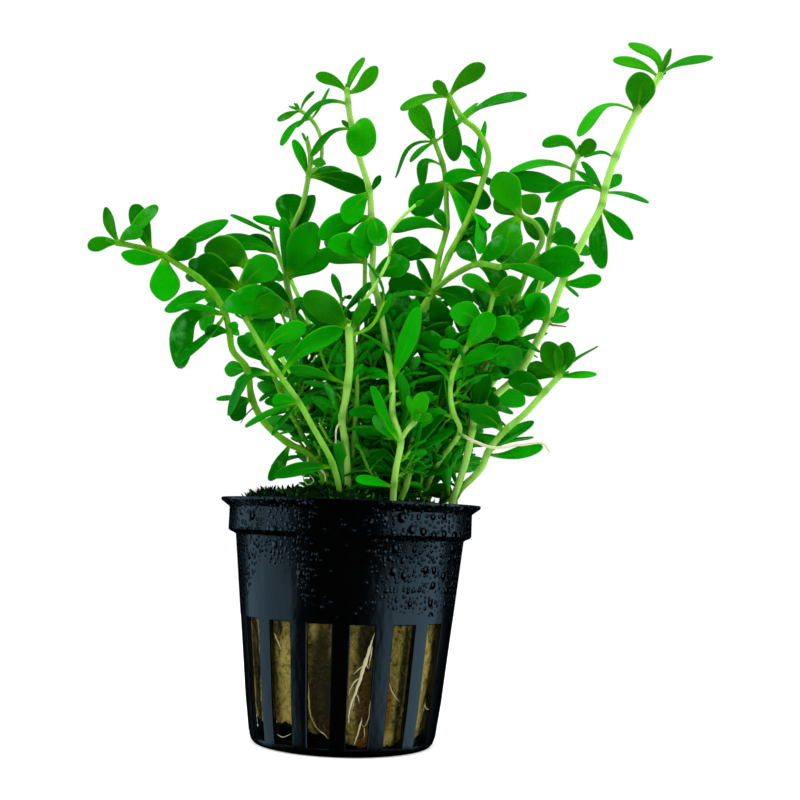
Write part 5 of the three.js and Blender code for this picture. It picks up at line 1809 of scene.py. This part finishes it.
@dataclass
class BladeForm:
    """The form that the leaves share."""

    slenderness: float = 0.29
    seen_share: Pair = (0.82, 0.92)
    thickness: float = 0.42
    stations: int = 15
    corners: int = 12
    plain_stations: int = 9
    plain_corners: int = 8
    tip_power: Pair = (1.6, 2.3)

    @staticmethod
    def spread(share: float, neck: float, peak: float, power: float) -> float:
        """Finds a leaf's half width, as a share of the largest one.

        Args:
            share: Where, as a share of the leaf's length.
            neck: The half width at its foot.
            peak: Where it is widest.
            power: How blunt its tip is.

        Returns:
            The half width.
        """
        blade = neck + (1 - neck) * rise(share / peak) ** 0.85
        rest = max(share - peak, 0.0) / (1 - peak)
        return blade * max(1 - rest**power, 0.0) ** (1 / power)

    @staticmethod
    def bow(share: float) -> float:
        """Returns how far an arched leaf stands off its chord, with 1 at two fifths of its length."""
        return 5.38 * share * (1 - share) ** 1.5

    def add(self, work: Meshwork, leaf: Leaf, dice: random.Random) -> None:
        """Adds a leaf to a shoot.

        Args:
            work: The shoot's mesh.
            leaf: The leaf.
            dice: What its small differences come from.
        """
        chord = leaf.tip - leaf.foot
        length, axis = chord.length, chord.normalized()
        natural = across(leaf.growth, axis)
        seen = leaf.seen_width * blend(*self.seen_share, 1.0 if leaf.facing is None else abs(leaf.facing))
        width = max(seen, self.slenderness * length)
        upper = self._upper(leaf, axis, natural, seen / width)
        flat = 1.0 if leaf.facing is None else seen / width
        neck, peak, power = dice.uniform(0.13, 0.24), dice.uniform(0.57, 0.72), dice.uniform(*self.tip_power)
        cup, twist = dice.uniform(-0.06, 0.20) * flat, dice.uniform(-0.3, 0.3) * flat
        fold = dice.uniform(0.04, 0.34)
        sweep = axis.cross(upper) * (dice.uniform(-0.22, 0.22) * length * flat)
        # The share of pale streaks is partly glaucous coat and partly painted sheen.
        paint = {"tint": dice.uniform(*leaf.tint), "youth": leaf.youth, "vein": dice.uniform(0, 0.5),
                 "bloom": dice.choice((0.0, 0.1, 0.8))}
        stations = self.stations if leaf.fine else self.plain_stations
        around = self.corners if leaf.fine else self.plain_corners
        shares = [1 - (1 - station / stations) ** 1.55 for station in range(stations + 1)]
        middles = [leaf.foot + chord * share + natural * (self.bow(share) * leaf.lift * length)
                   + sweep * (share * share * (1 - share)) for share in shares]
        rings = []
        for station, share in enumerate(shares[:-1]):
            half = width / 2 * self.spread(share, neck, peak, power)
            way = (middles[station + 1] - middles[max(station - 1, 0)]).normalized()
            face = Quaternion(way, twist * (share - 0.35)) @ across(upper, way)
            side = way.cross(face)
            thick = min(self.thickness * blend(1.25, 0.7, share), half * 1.5)
            ring = []
            for corner in range(around):
                turn_round = 2 * math.pi * corner / around
                reach, height = -math.cos(turn_round), math.sin(turn_round)
                crease = (0.13 if height > 0 else -0.10) * max(0.0, 1 - 5 * abs(reach)) * (1 - share)
                lift = height * thick / 2 + (cup * reach * reach + fold * (abs(reach) - 0.5)) * half - crease
                ring.append(work.corner(
                    middles[station] + side * (reach * half) + face * lift,
                    along=share, span=reach, upper=1.0 if height >= 0 else 0.0, **paint))
            rings.append(ring)
        for low, high in zip(rings, rings[1:]):
            work.skin(high, low)
        work.fan(rings[-1], work.corner(leaf.tip, along=1.0, upper=0.5, **paint), turned=True)
        work.faces.append(tuple(rings[0]))

    @staticmethod
    def _upper(leaf: Leaf, axis: Vector, natural: Vector, shown: float) -> Vector:
        """Finds which way a leaf's upper side looks.

        Args:
            leaf: The leaf.
            axis: Its direction.
            natural: The way it looks by nature.
            shown: Which share of its width the viewer sees.

        Returns:
            The way its upper side looks, so that the viewer sees its seen width.
        """
        if leaf.facing is None:
            return natural
        viewer = across(VIEWPOINT - leaf.foot, axis)
        shown *= math.copysign(1, leaf.facing or natural.dot(viewer))
        edge = axis.cross(viewer)
        hidden = math.sqrt(max(0.0, 1 - shown**2)) * math.copysign(1, edge.dot(natural))
        return viewer * shown + edge * hidden


@dataclass
class Plant:
    """All shoots, planned ones that the viewer sees and ones grown by rule behind them."""

    form: BladeForm
    sides: int = 12
    soil: float = 49.5
    sunk: float = 0.6
    fork_floor: float = 60.0
    tall: float = 110.0
    sample: float = 1.1
    swelling: float = 0.2
    knot: float = 0.8
    filler_girth: Pair = (0.85, 0.5)
    filler_steps: int = 5
    filler_leaf: Pair = (10.5, 4.8)
    filler_lowest: float = 0.1
    filler_rise: Pair = (-12.0, 46.0)
    lowest_tip: float = 52.0
    inside: float = 22.0
    low_leaf: Pair = (59.0, 21.0)
    slimness: Pair = (0.74, 1.0)
    side_gap: float = 3.7
    side_girth: Pair = (0.45, 0.32)
    side_reach: Pair = (1.0, 7.5)
    side_leaf: Pair = (6.0, 11.5)
    side_ceiling: float = 88.0
    crown_foot: Pair = (51.0, 17.0)
    crown_head: Pair = (86.0, 29.0)
    crown_middle: Vector = field(default_factory=lambda: Vector((6.0, 0.0, 0.0)))
    front: float = -9.0
    paleness: dict[str, float] = field(default_factory=lambda: {
        "shoot_right_tall": 1.0, "shoot_centre_tall": 0.75, "shoot_centre_thick": 0.75,
        "shoot_left_thick": 0.35, "shoot_left_long": 0.05, "shoot_left_second": 0.1, "shoot_left_upper": 0.45,
        "shoot_right_low": 0.55, "shoot_right_second": 0.5, "shoot_right_inner": 0.5,
    })

    def build(self, shop: Workshop) -> list[Thing]:
        """Makes every shoot, one piece for each CAD node.

        Args:
            shop: The materials and the growth trees.

        Returns:
            The shoots.
        """
        stems = [*map(self._planned, SHOOTS), *map(self._grown, FILLERS)]
        made = []
        for seed, name in enumerate(dict.fromkeys(stem.name for stem in stems)):
            dice = random.Random(seed + 1)
            work = Meshwork()
            for stem in [stem for stem in stems if stem.name == name]:
                self._draw(work, stem, dice)
                for side in self._side_growth(stem, dice):
                    self._draw(work, side, dice)
            for root in [root for root in AERIAL_ROOTS if root[0] == name]:
                self._aerial_root(work, root, dice)
            thing = work.thing(name.replace("shoot_", "leafy_"))
            shop.shoot.grow(thing, Sides=self.sides, Stem=shop.stem, Leaf=shop.leaf)
            made.append(place_piece(thing, Slot.PLANT, [name]))
        return made

    def _planned(self, row: list[Any]) -> Stem:
        """Reads one of the planned shoots.

        Args:
            row: Its row of the table.

        Returns:
            The stem with its leaves.
        """
        name, foot_girth, tip_girth, rows = row
        points = [sighted(*place[:3]) for place in rows]
        curve = Spline(points)
        last = len(rows) - 1
        leaves, nodes = [], []
        for index, (_, _, _, *growing) in enumerate(rows):
            growth = curve.along(index / last)
            if growing:
                nodes.append(index / last)
            for x, depth, z, width, lift, facing in growing:
                youth = rise((index / last - 0.62) / 0.5) * (0.8 if rows[-1][2] > self.tall else 0.5)
                foot, tip = points[index] - growth * self.sunk, sighted(x, depth, z)
                leaves.append(Leaf(foot, tip, growth, width, lift, facing, youth))
        return Stem(name, foot_girth, tip_girth, points, leaves, nodes, forked=rows[0][2] > self.fork_floor)

    def _grown(self, row: list[Any]) -> Stem:
        """Grows one of the shoots behind: it leans out as it rises, with crossed pairs of leaves.

        Args:
            row: Its row of the table.

        Returns:
            The stem with its leaves.
        """
        name, foot_angle, foot_reach, lean_angle, lean, height, pairs, seed = row
        dice = Dice(seed)
        foot = polar(foot_reach, foot_angle, self.soil)
        out = polar(1.0, lean_angle, 0.0)
        points = []
        for step in range(self.filler_steps + 1):
            share = step / self.filler_steps
            sway = dice.roll(-1.2, 1.2) if step else 0.0
            points.append(foot + out * (lean * share**1.5) + Vector((-out.y, out.x, 0)) * sway
                          + Vector((0, 0, (height - self.soil) * share)))
        curve = Spline(points)
        leaves, nodes = [], []
        for pair in range(pairs):
            share = blend(self.filler_lowest, 1.0, pair / (pairs - 1))
            nodes.append(share)
            growth = curve.along(share)
            crossed = lean_angle + 90 * pair + dice.roll(-25, 25)
            for hand in (1, -1):
                away = across(polar(1.0, crossed, 0.0) * hand, growth)
                lift_angle = math.radians(blend(*self.filler_rise, share) + dice.roll(-14, 14))
                reach = self.filler_leaf[0] * dice.roll(0.82, 1.18) * (0.75 if pair == pairs - 1 else 1.0)
                tip = curve.at(share) + away * (reach * math.cos(lift_angle))
                tip += growth * (reach * math.sin(lift_angle))
                tip.z = max(tip.z, self.lowest_tip)
                self._drawn_in(tip)
                width, lift = self.filler_leaf[1] * dice.roll(0.8, 1.25), dice.roll(0.04, 0.16)
                leaves.append(Leaf(curve.at(share) - growth * self.sunk, tip, growth, width, lift,
                                   youth=0.5 if pair == pairs - 1 else 0.0))
        return Stem(name, *self.filler_girth, points, leaves, nodes)

    def _side_growth(self, stem: Stem, dice: random.Random) -> Iterator[Stem]:
        """Grows short leafy side shoots low on a stem, as far as they stay in the crown.

        Args:
            stem: The stem.
            dice: What their places come from.

        Yields:
            The side shoots.
        """
        curve = Spline(stem.points)
        count = int(curve.length() / self.side_gap)
        for step in range(count):
            share = (step + dice.uniform(0.1, 0.9)) / count
            foot, growth = curve.at(share), curve.along(share)
            out = polar(1.0, dice.uniform(0, 360), 0.0)
            if foot.y < self.front:
                out.y = abs(out.y)
            reach = dice.uniform(*self.side_reach)
            middle = foot + out * (reach * 0.6) + growth * (reach * 0.3)
            points = [foot, middle, foot + (out + growth) * reach]
            height = (foot.z - self.crown_foot[0]) / (self.crown_head[0] - self.crown_foot[0])
            crown = blend(self.crown_foot[1], self.crown_head[1], height)
            away = points[-1] - self.crown_middle
            if foot.z > self.side_ceiling or math.hypot(away.x, away.y) > crown:
                continue
            leaves = []
            branch = Spline(points)
            turn = dice.uniform(0, 360)
            for pair, place in enumerate((0.25, 0.62, 1.0)):
                way = branch.along(place)
                for hand in (0, 180):
                    away = across(polar(1.0, turn + 90 * pair + hand, 0.1), way)
                    length = dice.uniform(*self.side_leaf)
                    tip = branch.at(place) + (away * 0.85 + way * dice.uniform(0.1, 0.75)) * length
                    tip.z = max(tip.z, self.lowest_tip - 2 * (math.hypot(tip.x, tip.y) < self.inside))
                    if foot.y < self.front:
                        tip.y = max(tip.y, foot.y + 1.2)
                    self._drawn_in(tip)
                    width, lift = length * dice.uniform(0.17, 0.31), dice.uniform(0.0, 0.14)
                    # Painted shade: the leaves of these side shoots inside the crown draw only dark tones.
                    leaves.append(Leaf(branch.at(place) - way * 0.3, tip, way, width, lift, fine=False,
                                       tint=(0.0, 0.4)))
            yield Stem(stem.name, *self.side_girth, points, leaves, [0.45], forked=True, low=True)

    def _drawn_in(self, tip: Vector) -> None:
        """Moves a low leaf's tip towards the axis, so that the leaf ends above the pot.

        Args:
            tip: The tip, which is changed.
        """
        if tip.z < self.low_leaf[0]:
            kept = min(1.0, self.low_leaf[1] / math.hypot(tip.x, tip.y))
            tip.x, tip.y = tip.x * kept, tip.y * kept

    def _draw(self, work: Meshwork, stem: Stem, dice: random.Random) -> None:
        """Adds a stem's line and its leaves.

        Args:
            work: The shoot's mesh.
            stem: The stem.
            dice: What its small differences come from.
        """
        curve = Spline(stem.points)
        knots = [curve.at(share) for share in stem.nodes]
        steps = max(8, int(curve.length() / self.sample))
        paint = {"tint": dice.random(), "pale": 0.0 if stem.low else self.paleness.get(stem.name, 0.3)}
        path = []
        if not stem.forked:
            foot = stem.points[0]
            path.append((Vector((foot.x, foot.y, self.soil - 1.6)), stem.foot_girth * 0.9, 0.0))
        for step in range(steps + 1):
            share = step / steps
            place = curve.at(share)
            nearby = [math.exp(-(((place - knot).length / self.knot) ** 2)) for knot in knots]
            near = max(nearby, default=0.0)
            girth = blend(stem.foot_girth, stem.tip_girth, share) * blend(*self.slimness, share)
            path.append((place, girth * (1 + self.swelling * near) * dice.uniform(0.97, 1.03), near))
        tip, way = curve.at(1.0), curve.along(1.0)
        for ahead, share in ((0.7, 0.8), (1.3, 0.45), (1.7, 0.12)):
            path.append((tip + way * (ahead * stem.tip_girth), stem.tip_girth * share, 0.0))
        work.line([work.corner(place, girth=girth, ring=near, along=0.5, **paint)
                   for place, girth, near in path])
        for leaf in stem.leaves:
            self.form.add(work, leaf, dice)
        self._buds(work, tip, way, 2 if stem.low else 4, dice)

    def _buds(self, work: Meshwork, tip: Vector, way: Vector, count: int, dice: random.Random) -> None:
        """Adds the small folded leaves at a growing tip.

        Args:
            work: The shoot's mesh.
            tip: Where they stand.
            way: The way the tip grows.
            count: How many there are.
            dice: What their places come from.
        """
        turn = dice.uniform(0, 360)
        for bud in range(count):
            side = across(polar(1.0, turn + 90 * bud + 13, 0.2), way)
            reach = dice.uniform(1.7, 2.6) if bud < 2 else dice.uniform(1.0, 1.5)
            foot = tip - way * 0.3 * (bud < 2)
            end = foot + way * reach + side * reach * (0.55 if bud < 2 else 0.3)
            self.form.add(work, Leaf(foot, end, way, 0.42 * reach, -0.02, youth=1.0, fine=False), dice)

    @staticmethod
    def _aerial_root(work: Meshwork, row: list[Any], dice: random.Random) -> None:
        """Adds a pale root or a brown stub that a shoot sends out into the air.

        Args:
            work: The shoot's mesh.
            row: Its row of the table.
            dice: What its small bends come from.
        """
        _, foot_girth, tip_girth, brown, places = row
        curve = Spline([sighted(*place) for place in places])
        steps = max(8, int(curve.length()))
        line = []
        for step in range(steps + 1):
            share = step / steps
            sway = Vector((0, dice.uniform(-1, 1), dice.uniform(-1, 1))) * 0.08
            girth = blend(foot_girth, tip_girth, share)
            line.append(work.corner(curve.at(share) + sway, girth=girth, along=0.5, root=rise(share * 5),
                                    stub=float(brown)))
        work.line(line)


# Studio


@dataclass
class Studio:
    """The pale floor, the soft lights and the camera."""

    floor_radius: float = 1.2
    floor_corners: int = 72
    boxes: tuple[tuple[str, Colour, Colour, Pair, float], ...] = (
        ("left_box", (-0.50, 0.0, 0.26), (0.0, 0.0, 0.08), (0.62, 0.46), 3.0),
        ("right_box", (0.50, -0.05, 0.26), (0.0, 0.0, 0.08), (0.62, 0.46), 3.0),
        ("top_box", (0.02, -0.06, 0.70), (0.0, 0.0, 0.09), (0.50, 0.36), 7.0),
    )
    ambient: float = 0.48
    backdrop: float = 1.02
    zenith: float = 0.35
    panels: tuple[tuple[float, float, float, float], ...] = ((177, 36, 4, 0.85), (-11, 35, 14, 1.45))
    panel_tone: Colour = (0.45, 0.75, 1.0)
    lens: float = 55.53
    pitch: float = 0.104
    roll: float = 0.037

    def build(self) -> None:
        """Makes the stage."""
        bpy.context.scene.view_settings.view_transform = "Standard"
        self._world()
        self._floor()
        for box in self.boxes:
            self._softbox(*box)
        self._camera()

    def _world(self) -> None:
        """Makes a white surround, of which polished faces mirror only two panels and the zenith."""
        world = bpy.data.worlds.new("studio_white")
        bpy.context.scene.world = world
        world.use_nodes = True
        world.cycles.sampling_method = "NONE"
        bench = Bench(world.node_tree)
        sky = world.node_tree.nodes["Background"]
        rays = bench.node("ShaderNodeLightPath").outputs
        seen, mirrored = Level(bench, rays["Is Camera Ray"]), Level(bench, rays["Is Glossy Ray"])
        around = bench.node("ShaderNodeTexCoord").outputs["Generated"]
        way = bench.node("ShaderNodeSeparateXYZ", values={"Vector": around}).outputs
        x, y, z = (Level(bench, way[axis]) for axis in "XYZ")
        flat = (x * x + y * y).root()
        glow = z.band(0.55, 0.85) * self.zenith
        for azimuth, half_width, softness, power in self.panels:
            middle = polar(1.0, azimuth, 0.0)
            inside = (x * middle.x + y * middle.y) / flat
            edge = [math.cos(math.radians(half_width + hand * softness)) for hand in (1, -1)]
            glow = glow + inside.band(*edge) * z.size().band(0.62, 0.45) * power
        bench.feed(sky, "Color", bench.mix(mirrored, (1.0, 1.0, 1.0), self.panel_tone))
        bench.feed(sky, "Strength", self.ambient + seen * (self.backdrop - self.ambient)
                   + mirrored * (glow - self.ambient))

    def _floor(self) -> None:
        """Makes the floor, which fades out into the white surround."""
        mesh = bpy.data.meshes.new("studio_floor")
        corners = range(self.floor_corners)
        ring = [polar(self.floor_radius, corner * 360 / self.floor_corners, 0.0) for corner in corners]
        mesh.from_pydata([tuple(place) for place in ring], [], [tuple(corners)])
        floor = bpy.data.objects.new("studio_floor", mesh)
        bpy.context.scene.collection.objects.link(floor)
        bench = FinishBench("pale_floor", {
            "Roughness": 0.9, "Specular IOR Level": 0.1, "Base Color": (0.86, 0.86, 0.86),
            "Emission Color": (1.0, 1.0, 1.0), "Emission Strength": 0.32})
        reach = bench.node("ShaderNodeVectorMath", {"operation": "LENGTH"}, {"Vector": bench.place})
        fade = Level(bench, reach.outputs["Value"]).band(0.55, 0.14)
        bench.wear(Alpha=fade)
        bench.material.cycles.emission_sampling = "NONE"
        mesh.materials.append(bench.material)
        floor.visible_glossy = False

    @staticmethod
    def _softbox(name: str, place: Colour, aim: Colour, size: Pair, power: float) -> None:
        """Hangs a soft light, which polished faces don't mirror.

        Args:
            name: The light's name.
            place: Where it hangs, in metres.
            aim: What it points at.
            size: Its width and height.
            power: Its power in watts.
        """
        lamp = bpy.data.lights.new(name, "AREA")
        lamp.shape = "RECTANGLE"
        lamp.size, lamp.size_y = size
        lamp.energy = power
        thing = bpy.data.objects.new(name, lamp)
        thing.visible_glossy = False
        thing.location = place
        thing.rotation_euler = (Vector(aim) - Vector(place)).to_track_quat("-Z", "Y").to_euler()
        bpy.context.scene.collection.objects.link(thing)

    def _camera(self) -> None:
        """Sets the camera at the photograph's angle."""
        camera = bpy.data.cameras.new("photo_camera")
        camera.lens = self.lens
        camera.sensor_width = 36.0
        camera.clip_start = 0.01
        thing = bpy.data.objects.new("photo_camera", camera)
        ahead = Vector((0.0, math.cos(self.pitch), math.sin(self.pitch)))
        above = Vector((0.0, -math.sin(self.pitch), math.cos(self.pitch)))
        right = Vector((1.0, 0.0, 0.0))
        turned_right = right * math.cos(self.roll) + above * math.sin(self.roll)
        turned_up = above * math.cos(self.roll) - right * math.sin(self.roll)
        stance = Matrix((turned_right, turned_up, -ahead)).transposed().to_4x4()
        stance.translation = VIEWPOINT * MM
        thing.matrix_world = stance
        bpy.context.scene.collection.objects.link(thing)
        bpy.context.scene.camera = thing


def main() -> None:
    """Builds the part piece by piece and sets the stage."""
    logging.basicConfig(level=logging.INFO, format="%(name)s: %(message)s")
    shop, sizes = Workshop(), PotSizes()
    NetPot(sizes).build(shop)
    WoolPlug(sizes).build(shop)
    Roots(sizes).build(shop)
    MossTuft().build(shop)
    Plant(BladeForm()).build(shop)
    Studio().build()


if __name__ == "__main__":
    main()
